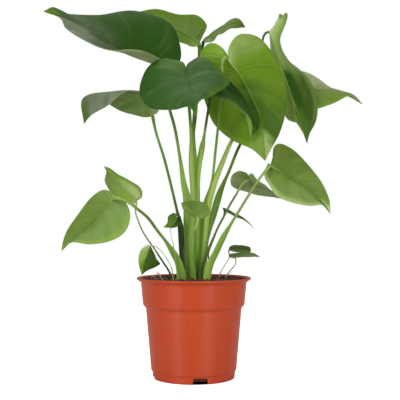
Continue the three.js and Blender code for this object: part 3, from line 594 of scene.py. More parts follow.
def closed_blade(upper, under, facts):
    """The points, faces and attributes of a closed blade: the two surfaces joined round the margin, with
    one point at the joint and one at the tip on each."""
    rows, columns = upper.shape[0] - 2, upper.shape[1]
    count = rows * columns + 2

    def flat(values):
        inner = values[1:-1].reshape(rows * columns, -1)
        ends = np.stack([values[0, columns // 2].ravel(), values[-1, columns // 2].ravel()])
        return np.concatenate([inner, ends])

    cells = grid_faces(rows, columns)
    first = np.arange(columns)
    joint, tip = rows * columns, rows * columns + 1
    caps = np.concatenate([fan_faces(joint, first, outward=False), fan_faces(tip, first + joint - columns)])
    left_edge = np.arange(rows) * columns
    right_edge = left_edge + columns - 1
    edge = np.concatenate([[joint], left_edge, [tip], right_edge[::-1], [joint]])
    rim = np.stack([edge[:-1], edge[1:], edge[1:] + count, edge[:-1] + count], -1)
    quads = np.concatenate([cells, cells[:, ::-1] + count, rim])
    triangles = np.concatenate([caps, caps[:, ::-1] + count])
    attributes = {key: np.concatenate([flat(values)[:, 0]] * 2) for key, values in facts.items()}
    attributes["upper_face"] = np.repeat([1.0, 0.0], count)
    return np.concatenate([flat(upper), flat(under)]), quads, triangles, attributes


def stalk_surface(card, leaf, samples=400):
    """A stalk as rings along its line. Round each ring the radius is 1, less a groove on the side that
    faces the plant's middle, and along the sheath two thin edges stand out beside the groove. The radius
    grows from the blade to the full sheath and on to the soil, and the knee swells just under the blade."""
    route = np.vstack([card["rib"][0], card["stalk"]]).astype(float)
    even = np.linspace(0, 1, samples)
    steps = np.linalg.norm(np.diff(curve(route, even), axis=0), axis=1)
    travelled = np.concatenate([[0], np.cumsum(steps)])
    length = travelled[-1]
    u = np.linspace(0, 1, leaf.stalk_steps + 1)
    place = np.interp(u * length, travelled, even)
    centre = curve(route, place)
    tangent = direction(route, place)
    outward = route[0] - route[-1]
    inward = unit(np.array([-outward[0], -outward[1], 0.0])) + np.array([0, 0, 1.0])
    facing = unit(inward - tangent * (tangent @ inward)[:, None])
    beside = np.cross(tangent, facing)
    top, full, bottom = card["radius"]
    begins, opened = card["sheath"]
    angle = round_angles(leaf.stalk_sides)[None, :]
    turn = np.abs((angle + math.pi) % (2 * math.pi) - math.pi)
    widening = smooth_step(u, begins, opened)
    radius = top + (full - top) * widening + (bottom - full) * smooth_step(u, opened, 1)
    knee = KNEE_HEIGHT * hump(u * length - KNEE_PLACE, KNEE_WIDTH)[:, None]
    grown = (widening * (1 - SHEATH_LOSS * smooth_step(u, SHEATH_END, 1)))[:, None]
    edges = card["edge"] * grown * hump(turn - EDGE_TURN, EDGE_WIDTH)
    groove = (GROOVE_DEPTH + SHEATH_DEPTH * grown) * hump(turn, GROOVE_TURN)
    ring = radius[:, None] * (1 + knee + edges - groove)
    cosine, sine = np.cos(angle)[..., None], np.sin(angle)[..., None]
    around = cosine * facing[:, None] + sine * beside[:, None]
    sheath = (smooth_step(u, 0, begins) + smooth_step(u, begins, 1))[:, None] / 2
    facts = {
        "along": np.broadcast_to(u[:, None], ring.shape),
        "sheath": np.broadcast_to(sheath, ring.shape),
        "sheath_edge": grown * hump(turn - EDGE_TURN, EDGE_TONE_WIDTH),
    }
    return centre[:, None] + ring[..., None] * around, centre, facts


def colour(text):
    """A colour written as six hexadecimal digits, as the linear values that shaders take."""
    parts = np.array([int(text[k:k + 2], 16) / 255 for k in (0, 2, 4)])
    linear = np.where(parts <= 0.04045, parts / 12.92, ((parts + 0.055) / 1.055) ** 2.4)
    return (*linear.tolist(), 1.0)


def tone(name):
    """A palette tone as a colour for shaders."""
    return colour(PALETTE[name])


class Nodes:
    """Adds nodes to a tree and joins them, so that each material reads as one chain of steps."""

    def __init__(self, tree):
        self.tree = tree

    def put(self, socket, value):
        if isinstance(value, bpy.types.NodeSocket):
            self.tree.links.new(value, socket)
        else:
            socket.default_value = value

    def add(self, kind, settings=None, *numbered, **named):
        made = self.tree.nodes.new(kind)
        for key, value in (settings or {}).items():
            setattr(made, key, value)
        for key, value in (*enumerate(numbered), *named.items()):
            self.put(made.inputs[key], value)
        return made

    def maths(self, operation, *values):
        return self.add("ShaderNodeMath", {"operation": operation}, *values).outputs[0]

    def times(self, a, b):
        return self.maths("MULTIPLY", a, b)

    def plus(self, a, b):
        return self.maths("ADD", a, b)

    def minus(self, a, b):
        return self.maths("SUBTRACT", a, b)

    def attribute(self, name):
        return self.add("ShaderNodeAttribute", {"attribute_name": name}).outputs["Fac"]

    def place(self):
        return self.add("ShaderNodeTexCoord").outputs["Object"]

    def distance(self, vector):
        return self.add("ShaderNodeVectorMath", {"operation": "LENGTH"}, vector).outputs["Value"]

    def mix(self, factor, a, b):
        made = self.add("ShaderNodeMix", {"data_type": "RGBA"}, factor)
        self.put(made.inputs[6], a)
        self.put(made.inputs[7], b)
        return made.outputs[2]

    def toward(self, base, name, share, factor):
        """The base, changed towards a palette tone by a share of the way where the factor is 1."""
        return self.mix(factor, base, self.mix(share, base, tone(name)))

    def texture(self, vector, scale, detail=2.0, roughness=0.5):
        return self.add(
            "ShaderNodeTexNoise", Vector=vector, Scale=scale, Detail=detail, Roughness=roughness).outputs[0]

    def noise(self, scale, detail=2.0, roughness=0.5, stretch=(1, 1, 1)):
        """Noise in the object's space, from 0 to 1. A low stretch draws it out along that axis."""
        turned = self.add("ShaderNodeMapping", Vector=self.place(), Scale=stretch).outputs[0]
        return self.texture(turned, scale, detail, roughness)

    def range(self, value, low, high, new_low=0.0, new_high=1.0, kind="SMOOTHSTEP"):
        """The new low below low, the new high above high, and a smooth or a straight run between them."""
        settings = {"interpolation_type": kind}
        return self.add("ShaderNodeMapRange", settings, value, low, high, new_low, new_high).outputs[0]

    def fade(self, value, low, high):
        """1 below low and 0 above high."""
        return self.range(value, low, high, 1.0, 0.0)

    def bump(self, height, strength, distance):
        """The normal of a surface raised by a height of 1 by a distance in metres."""
        return self.add("ShaderNodeBump", Height=height, Strength=strength, Distance=distance).outputs[0]

    def fill(self, sockets):
        """Fills the Principled shader's sockets, given by name."""
        for name, value in sockets.items():
            self.put(self.tree.nodes["Principled BSDF"].inputs[name], value)


def new_material(name):
    """An empty material with its Principled shader, and a helper that adds nodes to it."""
    material = bpy.data.materials.new(name)
    material.use_nodes = True
    return material, Nodes(material.node_tree)


def shared_group(name, inputs, build):
    """The shader node group of a name, made at its first use. Its inputs are given as name: default, and
    build makes its nodes and returns its outputs by name."""
    group = bpy.data.node_groups.get(name)
    if group:
        return group
    group = bpy.data.node_groups.new(name, "ShaderNodeTree")
    for key, value in inputs.items():
        socket = group.interface.new_socket(key, in_out="INPUT", socket_type="NodeSocketFloat")
        socket.default_value = value
    n = Nodes(group)
    made = build(n, n.add("NodeGroupInput").outputs)
    for key in made:
        group.interface.new_socket(key, in_out="OUTPUT", socket_type="NodeSocketFloat")
    n.add("NodeGroupOutput", None, *made.values())
    return group


def vein_masks(n, given):
    """Masks of a blade's midrib, side veins, the furrows along them, fine net and margin, and the height
    that they give the surface."""
    rib_width = n.times(given["Rib Width"], n.minus(1.15, n.attribute("along")))
    rib = n.fade(n.maths("DIVIDE", n.attribute("from_rib"), rib_width), 0.5, 1.3)
    number = n.attribute("vein")
    aside = n.maths("ABSOLUTE", n.minus(number, n.maths("ROUND", number)))
    distance = n.times(aside, n.attribute("vein_gap"))
    inner = n.range(n.attribute("from_margin"), 1.0, 12.0)
    veins = n.times(n.fade(n.maths("DIVIDE", distance, given["Vein Width"]), 0.2, 1.2), inner)
    furrow = n.times(n.fade(aside, 0.04, 0.26), inner)
    to_edge = {"feature": "DISTANCE_TO_EDGE"}
    cells = n.add("ShaderNodeTexVoronoi", to_edge, Vector=n.place(), Scale=given["Net Scale"])
    net = n.fade(cells.outputs["Distance"], 0.02, 0.12)
    margin = n.fade(n.maths("DIVIDE", n.attribute("from_margin"), given["Margin Width"]), 0.4, 1.2)
    height = n.plus(n.plus(n.times(veins, 0.6), n.times(net, 0.15)), rib)
    return {"Rib": rib, "Veins": veins, "Furrow": furrow, "Net": net, "Margin": margin, "Height": height}


def mottle_mask(n, given):
    """Soft blotches at two scales, from 0 to 1, that vary a surface's colour and gloss."""
    place = n.place()
    coarse = n.texture(place, given["Coarse"])
    fine = n.texture(place, given["Fine"], 3.0)
    return {"Mottle": n.range(n.plus(n.times(coarse, 0.7), n.times(fine, 0.3)), 0.3, 0.7)}


def mottle(n):
    """The shared soft blotches, in a material."""
    group = shared_group("soft_mottle", {"Coarse": 18.0, "Fine": 160.0}, mottle_mask)
    return n.add("ShaderNodeGroup", {"node_tree": group}).outputs["Mottle"]


def vein_marks(n, width):
    """The shared vein masks, in a blade's material, with side veins of the given width."""
    inputs = {"Rib Width": 1.2, "Vein Width": 0.8, "Margin Width": 0.8, "Net Scale": 260.0}
    group = shared_group("leaf_veins", inputs, vein_masks)
    return n.add("ShaderNodeGroup", {"node_tree": group}, **{"Vein Width": width}).outputs


def half_colour(n, names, along, across):
    """One half of a face: four tones from joint to tip, blended with one beside the midrib and one beside
    the margin where the look names them."""
    words = names.split()
    words = words * 4 if len(words) == 1 else words
    joint, middle, end, tip, inner, outer = (words + ["-", "-"])[:6]
    base = n.mix(n.range(along, 0.05, 0.45), tone(joint), tone(middle))
    base = n.mix(n.range(along, 0.5, 0.8), base, tone(end))
    # On some leaves the tone beside the midrib paints shade and the one beside the margin paints a glossy
    # sheen
    if inner != "-":
        reach = n.times(n.range(along, 0.48, 0.68), n.fade(along, 0.78, 0.9))
        base = n.mix(n.times(n.fade(across, 0.15, 0.5), reach), base, tone(inner))
    if outer != "-":
        base = n.mix(n.range(across, 0.72, 0.95, 0.0, 0.8), base, tone(outer))
    return n.mix(n.range(along, 0.86, 0.97), base, tone(tip))


def blade_material(name, look, settings):
    """A living blade: each half of each face has its own run of tones, with soft blotches, painted streaks of
    sheen and shade that follow the side veins, painted shade in their furrows, a lighter midrib and margin,
    and a fine net. The veins also raise its surface."""
    material, n = new_material(name)
    clear = look["veins"]
    side = n.range(n.attribute("upper_face"), 0.4, 0.6, kind="LINEAR")
    half = n.range(n.attribute("half"), 0.3, 0.7, kind="LINEAR")
    drift = n.times(n.minus(n.noise(22), 0.5), 0.45)
    along = n.plus(n.attribute("along"), drift)
    across = n.plus(n.attribute("across"), drift)
    halves = [half_colour(n, names, along, across) for names in (*look["under"], *look["upper"])]
    base = n.mix(side, n.mix(half, *halves[:2]), n.mix(half, *halves[2:]))
    blotches = mottle(n)
    base = n.toward(base, "shade", 0.35, n.times(blotches, 0.3))
    # Streaks along the side veins: the light ones paint a glossy sheen, the dark ones paint shade
    flow = (n.times(n.attribute("vein"), 2.6), n.times(n.attribute("across"), 0.8), n.times(half, 7))
    streaks = n.texture(n.add("ShaderNodeCombineXYZ", None, *flow).outputs[0], 1.0, 3.0)
    base = n.toward(base, "silver", 0.35, n.range(streaks, 0.48, 0.75, 0.0, look["streaks"]))
    base = n.toward(base, "shade", 0.4, n.range(streaks, 0.3, 0.5, 0.6 * look["streaks"], 0.0))
    veins = vein_marks(n, 0.8 + 0.8 * clear)
    # Painted shade in the furrows beside the side veins
    base = n.toward(base, "shade", 0.45, n.times(veins["Furrow"], 0.5 * clear))
    lines = n.times(veins["Veins"], n.range(n.attribute("along"), 0.3, 0.6, 0.6 * clear, 0.15 * clear))
    lines = n.maths("MAXIMUM", lines, n.times(veins["Margin"], 0.35))
    lines = n.maths("MAXIMUM", lines, n.times(veins["Net"], 0.06))
    base = n.mix(lines, base, n.mix(0.5, base, settings.vein_colour))
    rib = n.mix(n.range(n.attribute("along"), 0.05, 0.55), *(tone(word) for word in look["rib"].split()))
    outward = n.range(side, 0, 1, 1.0, -1.0, kind="LINEAR")
    n.fill({
        "Base Color": n.mix(n.times(veins["Rib"], 0.8), base, rib),
        "Roughness": n.plus(n.range(side, 0, 1, 0.5, settings.gloss_roughness), n.times(blotches, 0.12)),
        "Specular IOR Level": 0.04,
        "Normal": n.bump(n.times(veins["Height"], outward), 0.4, 0.0005),
    })
    return material


def stalk_material(name, look):
    """A stalk: fresh green with fine lengthwise fibres, and paler papery edges along the sheath."""
    material, n = new_material(name)
    top, upper, middle, bottom, edge = (tone(word) for word in look["stalk"].split())
    where = n.attribute("sheath")
    base = n.mix(n.range(where, 0.05, 0.25), top, upper)
    base = n.mix(n.range(where, 0.44, 0.56), base, middle)
    base = n.mix(n.range(where, 0.7, 1.0), base, bottom)
    fibres = n.noise(240, 3, 0.6, (1, 1, 0.05))
    bands = n.noise(60, 2, 0.5, (1, 1, 0.12))
    base = n.toward(base, "shade", 0.55, n.range(fibres, 0.35, 0.7, 0.0, 0.28))
    base = n.toward(base, "pale", 0.5, n.range(bands, 0.5, 0.75, 0.0, 0.5))
    n.fill({
        "Base Color": n.mix(n.times(n.attribute("sheath_edge"), 0.9), base, edge),
        "Roughness": n.range(fibres, 0.3, 0.7, 0.38, 0.52),
        "Specular IOR Level": 0.3,
        "Normal": n.bump(fibres, 0.25, 0.0004),
    })
    return material


def make_leaf(name, card, settings, phase, slot):
    """A leaf's blade and its stalk, which together stand for the leaf's node."""
    look = LEAF_LOOKS[name]
    card = {**USUAL_CARD, **card}
    blade = make_piece(name + "_blade", *closed_blade(*blade_points(card, settings, phase)))
    stalk = make_piece(name + "_stalk", *closed_tube(*stalk_surface(card, settings)))
    settle(blade, slot, blade_material(blade.name, look, settings), name)
    settle(stalk, slot, stalk_material(stalk.name, look), name)


def make_leaves(cards, settings, phase_step, slot):
    """A table's leaves, each with its margin's waves moved on a little from the one before."""
    missing = set(cards) - set(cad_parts)
    if missing:
        raise ValueError(f"the model has no nodes for {sorted(missing)}")
    leaf = in_millimetres(settings)
    for index, (name, card) in enumerate(cards.items()):
        make_leaf(name, card, leaf, phase_step * index, slot)


def soften(profile, reach, steps=5):
    """An outline with its corners rounded: at each corner a curve (1 - t)^2 a + 2t(1 - t)c + t^2 b runs
    from a to b, which lie the given reach before and after the corner c, or at the middle of a shorter
    side."""
    points = np.asarray(profile, float)
    corner, before, after = points[1:-1], points[:-2] - points[1:-1], points[2:] - points[1:-1]
    to_a = np.minimum(reach / np.linalg.norm(before, axis=1), 0.5)[:, None, None]
    to_b = np.minimum(reach / np.linalg.norm(after, axis=1), 0.5)[:, None, None]
    t = np.linspace(0, 1, steps)[None, :, None]
    c = corner[:, None]
    a = c + before[:, None] * to_a
    b = c + after[:, None] * to_b
    curved = (1 - t) ** 2 * a + 2 * t * (1 - t) * c + t**2 * b
    outline = np.vstack([points[:1], curved.reshape(-1, 2), points[-1:]])
    apart = np.linalg.norm(np.diff(outline, axis=0), axis=1) > 1e-4
    return outline[np.append(True, apart)]


def revolved(profile, segments):
    """The points and faces of an outline of radius and height turned about the upright axis, from one point
    on the axis to another, going up on the outside."""
    outline = np.asarray(profile, float)
    inner = outline[1:-1, None]
    angle = round_angles(segments)
    ring = inner[..., :1] * np.stack([np.sin(angle), -np.cos(angle)], -1)
    level = np.broadcast_to(inner[..., 1:], (len(inner), segments, 1))
    ends = np.column_stack([np.zeros((2, 2)), outline[[0, -1], 1]])
    return closed_tube(np.concatenate([ring, level], -1), ends, {})


def rough_lattice(rng, x, y, cell, octaves, across=64):
    """Smooth random relief from -1 to 1: at each octave, values on a square lattice blended by smooth
    steps, at half the cell and half the height of the one before."""
    relief = np.zeros(np.shape(x))
    for octave in range(octaves):
        size = cell / 2**octave
        lattice = rng.uniform(-1, 1, (across, across))
        u, v = x / size, y / size
        i, j = np.floor(u).astype(int), np.floor(v).astype(int)
        f, g = smooth_step(u - i, 0, 1), smooth_step(v - j, 0, 1)
        i, j, right, back = (index % across for index in (i, j, i + 1, j + 1))
        low = lattice[i, j] * (1 - f) + lattice[right, j] * f
        high = lattice[i, back] * (1 - f) + lattice[right, back] * f
        relief += (low * (1 - g) + high * g) / 2**octave
    return relief


def inside_profile(pot, clearance):
    """The inside of the pot's wall from the floor up, as radius and height."""
    wall = pot.wall + clearance
    return [
        (pot.foot_radius - 1 - wall, pot.floor_top + clearance),
        (pot.wall_bottom_radius - wall, pot.foot_height + FOOT_SLOPE + wall),
        (pot.wall_top_radius - wall, pot.shoulder_bottom - clearance),
        (pot.band_bottom_radius - wall, pot.band_bottom - clearance),
        (pot.band_top_radius - wall, pot.height - pot.rim_depth - pot.wall - clearance),
    ]


def pot_profile(pot):
    """The pot's outline from the middle of its underside, over the foot, wall, shoulder, band and lip, and
    down its inside to the middle of the floor."""
    under_rim = pot.height - pot.rim_depth
    outside = [
        (0, 0),
        (pot.pad_radius, 0),
        (pot.pad_radius + 2, pot.floor_under),
        (pot.foot_inside - 1, pot.floor_under),
        (pot.foot_inside, 0),
        (pot.foot_radius - 1, 0),
        (pot.foot_radius, pot.foot_height),
        (pot.wall_bottom_radius, pot.foot_height + FOOT_SLOPE),
        (pot.wall_top_radius, pot.shoulder_bottom - 1),
        (pot.wall_top_radius + 1, pot.shoulder_bottom + 1),
        (pot.band_bottom_radius - 1, pot.band_bottom - 2),
        (pot.band_bottom_radius, pot.band_bottom),
        (pot.band_top_radius, under_rim - 2),
        (pot.band_top_radius + 0.5, under_rim - 1),
        (pot.rim_radius - LIP_WIDTH, under_rim + 1),
        (pot.rim_radius - 0.5, pot.height - 3.5),
        (pot.rim_radius, pot.height - 1.5),
        (pot.rim_radius - 1, pot.height),
        (pot.rim_radius - LIP_WIDTH, pot.height - 2),
    ]
    return outside + inside_profile(pot, 0)[::-1] + [(0, pot.floor_top)]


def cut(piece, cutters):
    """Cuts the cutters out of a piece, one after another, and removes them: an object goes with its mesh."""
    for cutter in cutters:
        step = piece.modifiers.new("cut", "BOOLEAN")
        step.object = cutter
        step.solver = "MANIFOLD"
    shape = bpy.data.meshes.new_from_object(piece.evaluated_get(bpy.context.evaluated_depsgraph_get()))
    shape.materials.clear()
    piece.modifiers.clear()
    old, piece.data = piece.data, shape
    bpy.data.meshes.remove(old)
    for cutter in cutters:
        bpy.data.meshes.remove(cutter.data)
    shape.name = piece.name


def drain_cutters(pot):
    """A round bar through the floor for each drain hole."""
    turn = round_angles(32)
    ring = pot.drain_radius * np.stack([np.cos(turn), np.sin(turn)], -1)
    cutters = []
    for k in range(pot.drain_holes):
        angle = 2 * math.pi * k / pot.drain_holes
        outline = ring + pot.drain_circle * np.array([math.cos(angle), math.sin(angle)])
        levels = (pot.floor_under - OVERRUN, pot.floor_top + OVERRUN)
        rings = np.stack([np.column_stack([outline, np.full(len(ring), level)]) for level in levels])
        cutters.append(make_piece("cutter", *closed_tube(rings, rings.mean(1), {})))
    return cutters


def notch_cutters(pot):
    """A block through the ring foot for each notch, wider at the bottom, the first at the front."""
    low, high = pot.notch_bottom / 2, pot.notch_top / 2
    corners = [(-low, -OVERRUN), (low, -OVERRUN), (high, pot.notch_height), (-high, pot.notch_height)]
    depths = (pot.foot_radius + OVERRUN, pot.foot_inside - OVERRUN)
    faces = [(0, 1, 2, 3), (7, 6, 5, 4), (1, 0, 4, 5), (2, 1, 5, 6), (3, 2, 6, 7), (0, 3, 7, 4)]
    cutters = []
    for k in range(pot.notches):
        angle = math.radians(pot.notch_angle) + 2 * math.pi * k / pot.notches
        out = np.array([math.sin(angle), -math.cos(angle), 0])
        side = np.array([math.cos(angle), math.sin(angle), 0])
        up = np.array([0, 0, 1.0])
        points = [out * depth + side * x + up * z for depth in depths for x, z in corners]
        cutters.append(make_piece("cutter", points, faces, smooth=False))
    return cutters


def pot_material(pot):
    """Satin moulded plastic: warm terracotta with faint blotches, upright streaks and a fine grain, darker
    inside the wall, nearer the axis than the wall's middle, where damp soil has stained it and painted shade
    darkens it."""
    material, n = new_material("terracotta_plastic")
    base = n.mix(n.times(mottle(n), 0.3), pot.colour, pot.blotch_colour)
    streaks = n.noise(70, 3, 0.55, (1, 1, 0.06))
    base = n.mix(n.range(streaks, 0.3, 0.7, 0.0, 0.2), base, pot.streak_colour)
    apart = n.add("ShaderNodeSeparateXYZ", Vector=n.place()).outputs
    level = apart[2]
    radius = n.distance(n.add("ShaderNodeCombineXYZ", None, apart[0], apart[1]).outputs[0])
    lip = n.times(n.maths("MAXIMUM", n.minus(level, LIP_LEVEL), 0.0), LIP_LEAN)
    middle = n.plus(n.plus(n.times(level, WALL_LEAN), WALL_START), lip)
    inside = n.range(n.minus(middle, radius), -0.0002, 0.0002)
    # The stain of damp soil and painted shade inside the wall, between its levels
    stain_and_shade = n.times(n.times(inside, n.fade(level, *STAIN_AND_SHADE_END)), n.range(level, *STAIN_AND_SHADE_BEGIN))
    n.fill({
        "Base Color": n.mix(stain_and_shade, base, pot.stain_and_shade_colour),
        "Roughness": n.range(streaks, 0.3, 0.7, 0.42, 0.5),
        "Specular IOR Level": 0.4,
        "Anisotropic": 0.9,
        "Anisotropic Rotation": 0.25,
        "Tangent": n.add("ShaderNodeTangent", {"direction_type": "RADIAL", "axis": "Z"}).outputs[0],
        "Normal": n.bump(n.noise(900), 0.08, 0.0003),
    })
    return material


def soil_material(soil):
    """Potting soil: almost black-brown, with lumps, lighter dry spots and a rough dull surface."""
    material, n = new_material("potting_soil")
    lumps = n.noise(260, 5, 0.65)
    base = n.mix(n.range(lumps, 0.35, 0.65), soil.dark_colour, soil.light_colour)
    base = n.mix(n.range(n.noise(90, 3), 0.55, 0.75, 0.0, 0.5), base, soil.dry_colour)
    n.fill({"Base Color": base, "Roughness": 0.95, "Normal": n.bump(lumps, 0.8, 0.002)})
    return material


def crumb_material(name, dark):
    """Loose crumbs of soil, bark and grit, or dry fibres: each has its own tone between two dark ones, or a
    pale straw."""
    material, n = new_material(name)
    shade = n.attribute("tone")
    base = n.mix(n.range(shade, 0.0, 0.7), *(colour(end) for end in dark))
    base = n.mix(n.range(shade, 0.82, 0.9), base, colour("d8c49c"))
    grain = n.noise(700, 3)
    base = n.mix(n.range(grain, 0.3, 0.7, 0.0, 0.4), base, colour("20120c"))
    n.fill({"Base Color": base, "Roughness": 0.9, "Normal": n.bump(grain, 0.5, 0.0006)})
    return material


def soil_height(pot, x, y, seed):
    """The soil's level: a low mound from the edge to the middle, with lumps of about 2 mm."""
    share = np.clip(np.hypot(x, y) / pot.soil_radius, 0, 1)
    mound = pot.soil_edge + (pot.soil_middle - pot.soil_edge) * (1 - share**2)
    x, y = x + LUMP_SHIFT, y + LUMP_SHIFT
    return mound + LUMP_HEIGHT * rough_lattice(np.random.default_rng(seed), x, y, LUMP_CELL, LUMP_OCTAVES)


def make_soil(pot, soil):
    """The soil as one closed body: the inside of the pot from its floor, and a lumpy top."""
    wall = inside_profile(pot, SOIL_ROOM)[:4]
    side = [(0, pot.floor_top + SOIL_ROOM), *wall, (pot.soil_radius, pot.soil_edge - 2)]
    rings = np.linspace(pot.soil_radius, 0, soil.rings)[:-1]
    surface = np.column_stack([rings, np.full(len(rings), pot.soil_edge)])
    points, *faces = revolved(np.vstack([side, surface, [(0, pot.soil_middle)]]), soil.segments)
    top = points[:, 2] > pot.soil_edge - 1
    points[top, 2] = soil_height(pot, points[:, 0], points[:, 1], soil.seed)[top]
    return settle(make_piece("soil_bed", points, *faces), "potting_soil", soil_material(soil), "soil")


def crumb_shape():
    """The 12 corners and 20 faces of a ball made of triangles, wound outwards."""
    g = (1 + 5**0.5) / 2
    corners = [(-1, g, 0), (1, g, 0), (-1, -g, 0), (1, -g, 0), (0, -1, g), (0, 1, g),
               (0, -1, -g), (0, 1, -g), (g, 0, -1), (g, 0, 1), (-g, 0, -1), (-g, 0, 1)]
    faces = [(0, 11, 5), (0, 5, 1), (0, 1, 7), (0, 7, 10), (0, 10, 11), (1, 5, 9), (5, 11, 4),
             (11, 10, 2), (10, 7, 6), (7, 1, 8), (3, 9, 4), (3, 4, 2), (3, 2, 6), (3, 6, 8), (3, 8, 9),
             (4, 9, 5), (2, 4, 11), (6, 2, 10), (8, 6, 7), (9, 8, 1)]
    return np.array(corners) / math.hypot(1, g), np.array(faces)


def make_crumbs(pot, soil):
    """Loose crumbs over the soil: a ball of few faces for each, its corners pushed about at random,
    stretched, turned by three random angles and set on the soil. Every tenth one is a thin pale fibre.
    Sizes are in millimetres and angles in radians."""
    rng = np.random.default_rng(soil.seed + 1)
    corners, faces = crumb_shape()
    count = soil.crumbs
    radius = (pot.soil_radius - 3) * np.sqrt(rng.uniform(0, 1, count))
    angle = rng.uniform(0, 2 * math.pi, count)
    x, y = radius * np.sin(angle), -radius * np.cos(angle)
    size = np.exp(rng.uniform(*np.log(CRUMB_RADIUS), count))
    stretch = rng.uniform(*CRUMB_STRETCH, (count, 3)) * size[:, None]
    fibre = np.arange(count) % 10 == 0
    fibres = fibre.sum()
    long, wide = rng.uniform(*FIBRE_LENGTH, fibres), rng.uniform(*FIBRE_WIDTH, (2, fibres))
    stretch[fibre] = np.column_stack([long, *wide])
    tones = np.where(fibre, rng.uniform(*FIBRE_TONES, count), rng.uniform(*CRUMB_TONES, count))
    turn = rng.uniform(0, 2 * math.pi, count)
    tip = rng.uniform(-CRUMB_TIP, CRUMB_TIP, count)
    roll = rng.uniform(0, 6.28, count)
    ball = corners[None] * rng.uniform(0.8, 1.2, (count, 12, 1)) * stretch[:, None]
    for angles, (p, q) in ((roll, (1, 2)), (tip, (0, 2)), (turn, (0, 1))):
        c, s = np.cos(angles)[:, None], np.sin(angles)[:, None]
        first, second = ball[..., p].copy(), ball[..., q].copy()
        ball[..., p], ball[..., q] = c * first - s * second, s * first + c * second
    z = soil_height(pot, x, y, soil.seed) + CRUMB_RISE * size
    points = ball + np.column_stack([x, y, z])[:, None]
    triangles = faces[None] + 12 * np.arange(count)[:, None, None]
    crumbs = make_piece("soil_crumbs", points, [], triangles, {"tone": np.repeat(tones, 12)}, smooth=False)
    return settle(crumbs, "potting_soil", crumb_material("soil_crumbs", ("2c1a14", "704c3c")), "soil")


def make_dry_bits(soil):
    """Dry roots, straw and old sheaths: closed flattened tubes along curved lines, thinner at both ends,
    each with its own tone."""
    u = np.linspace(0, 1, soil.bit_steps)
    angle = round_angles(soil.bit_sides)[None, :, None]
    parts, tones, quads, triangles, count = [], [], [], [], 0
    for line, radius, shade in DRY_BITS:
        centre = curve(line, u)
        tangent = unit(np.gradient(centre, axis=0))
        across = unit(np.cross(tangent, [0.3, 1.0, 0.1]))
        beside = np.cross(tangent, across)
        ring = radius * (1 - 0.5 * np.abs(2 * u - 1) ** 3)[:, None, None]
        around = np.cos(angle) * across[:, None] + 0.6 * np.sin(angle) * beside[:, None]
        tube, four, three, _ = closed_tube(centre[:, None] + ring * around, centre, {})
        parts.append(tube)
        tones.append(np.full(len(tube), shade))
        quads.append(four + count)
        triangles.append(three + count)
        count += len(tube)
    points, quads, triangles = (np.vstack(group) for group in (parts, quads, triangles))
    bits = make_piece("dry_bits", points, quads, triangles, {"tone": np.concatenate(tones)})
    return settle(bits, "potting_soil", crumb_material("dry_fibre", ("4a3c24", "a8946a")), "soil")


def make_pot(pot):
    """The pot as one closed body with rounded corners, drain holes and notches."""
    profile = soften(pot_profile(pot), CORNER_REACH)
    piece = make_piece("nursery_pot", *revolved(profile, pot.segments))
    cut(piece, drain_cutters(pot) + notch_cutters(pot))
    piece.data.shade_smooth()
    piece.data.set_sharp_from_angle(angle=SHARP_ANGLE)
    return settle(piece, "pot_plastic", pot_material(pot), "pot")


def aimed_light(name, place, size, power):
    """A rectangular soft white light at a place, turned towards the middle of the plant."""
    lamp = bpy.data.lights.new(name, "AREA")
    lamp.shape = "RECTANGLE"
    lamp.size, lamp.size_y = size
    lamp.energy = power
    light = link(name, lamp)
    light.location = place
    light.rotation_euler = (Vector(LIGHT_TARGET) - Vector(place)).to_track_quat("-Z", "Y").to_euler()


def floor_material(glow):
    """A pale matt floor with faint blotches, which the camera sees glow a little. Under the pot it is painted
    dark, as the pot's shadow.
    """
    material, n = new_material("pale_floor")
    seen = n.add("ShaderNodeLightPath").outputs["Is Camera Ray"]
    # Painted shadow: under the pot the floor is dark and doesn't glow
    open_floor = n.range(n.distance(n.place()), UNDER_POT - 0.004, UNDER_POT)
    blotches = n.mix(n.range(n.noise(3), 0.3, 0.7), colour("dcdcdc"), colour("e4e4e4"))
    n.fill({
        "Base Color": n.mix(open_floor, colour("181412"), blotches),
        "Roughness": 0.8,
        "Specular IOR Level": 0.1,
        "Emission Color": (1, 1, 1, 1),
        "Emission Strength": n.times(n.times(seen, glow), open_floor),
    })
    return material


def make_floor(stage, sides=96):
    """A flat round floor just under the pot."""
    angle = round_angles(sides)
    ring = stage.floor_radius * np.column_stack([np.cos(angle), np.sin(angle), np.zeros(sides)])
    triangles = fan_faces(sides, np.append(np.arange(sides), 0))
    floor = make_piece("floor", np.vstack([ring, np.zeros(3)]), [], triangles, smooth=False)
    floor.data.materials.append(floor_material(stage.floor_glow))


def make_world(stage):
    """White behind the plant, and a dimmer even light on it."""
    world = bpy.data.worlds.new("studio")
    world.use_nodes = True
    n = Nodes(world.node_tree)
    seen = n.add("ShaderNodeLightPath").outputs["Is Camera Ray"]
    background = world.node_tree.nodes["Background"]
    background.inputs["Color"].default_value = (1, 1, 1, 1)
    n.put(background.inputs["Strength"], n.range(seen, 0, 1, stage.ambient, 1.0, kind="LINEAR"))
    bpy.context.scene.world = world


def make_camera(stage):
    """The camera in front of the pot, level, with a small shift that frames the plant as the photo does."""
    data = bpy.data.cameras.new("camera")
    data.lens = stage.lens
    data.sensor_width = 36
    data.shift_x, data.shift_y = stage.shift
    camera = link("camera", data)
    camera.location = (0, -stage.camera_distance * MM, stage.camera_height * MM)
    camera.rotation_euler = (math.radians(90), 0, 0)
    bpy.context.scene.camera = camera


def plain(value, rule):
    """A setting's value: a length in millimetres, a colour with its alpha, and any other as it is."""
    if getattr(rule, "unit", "NONE") == "LENGTH":
        return value / MM
    if rule.subtype == "COLOR":
        return (*value, 1.0)
    return tuple(value) if getattr(rule, "is_array", False) else value


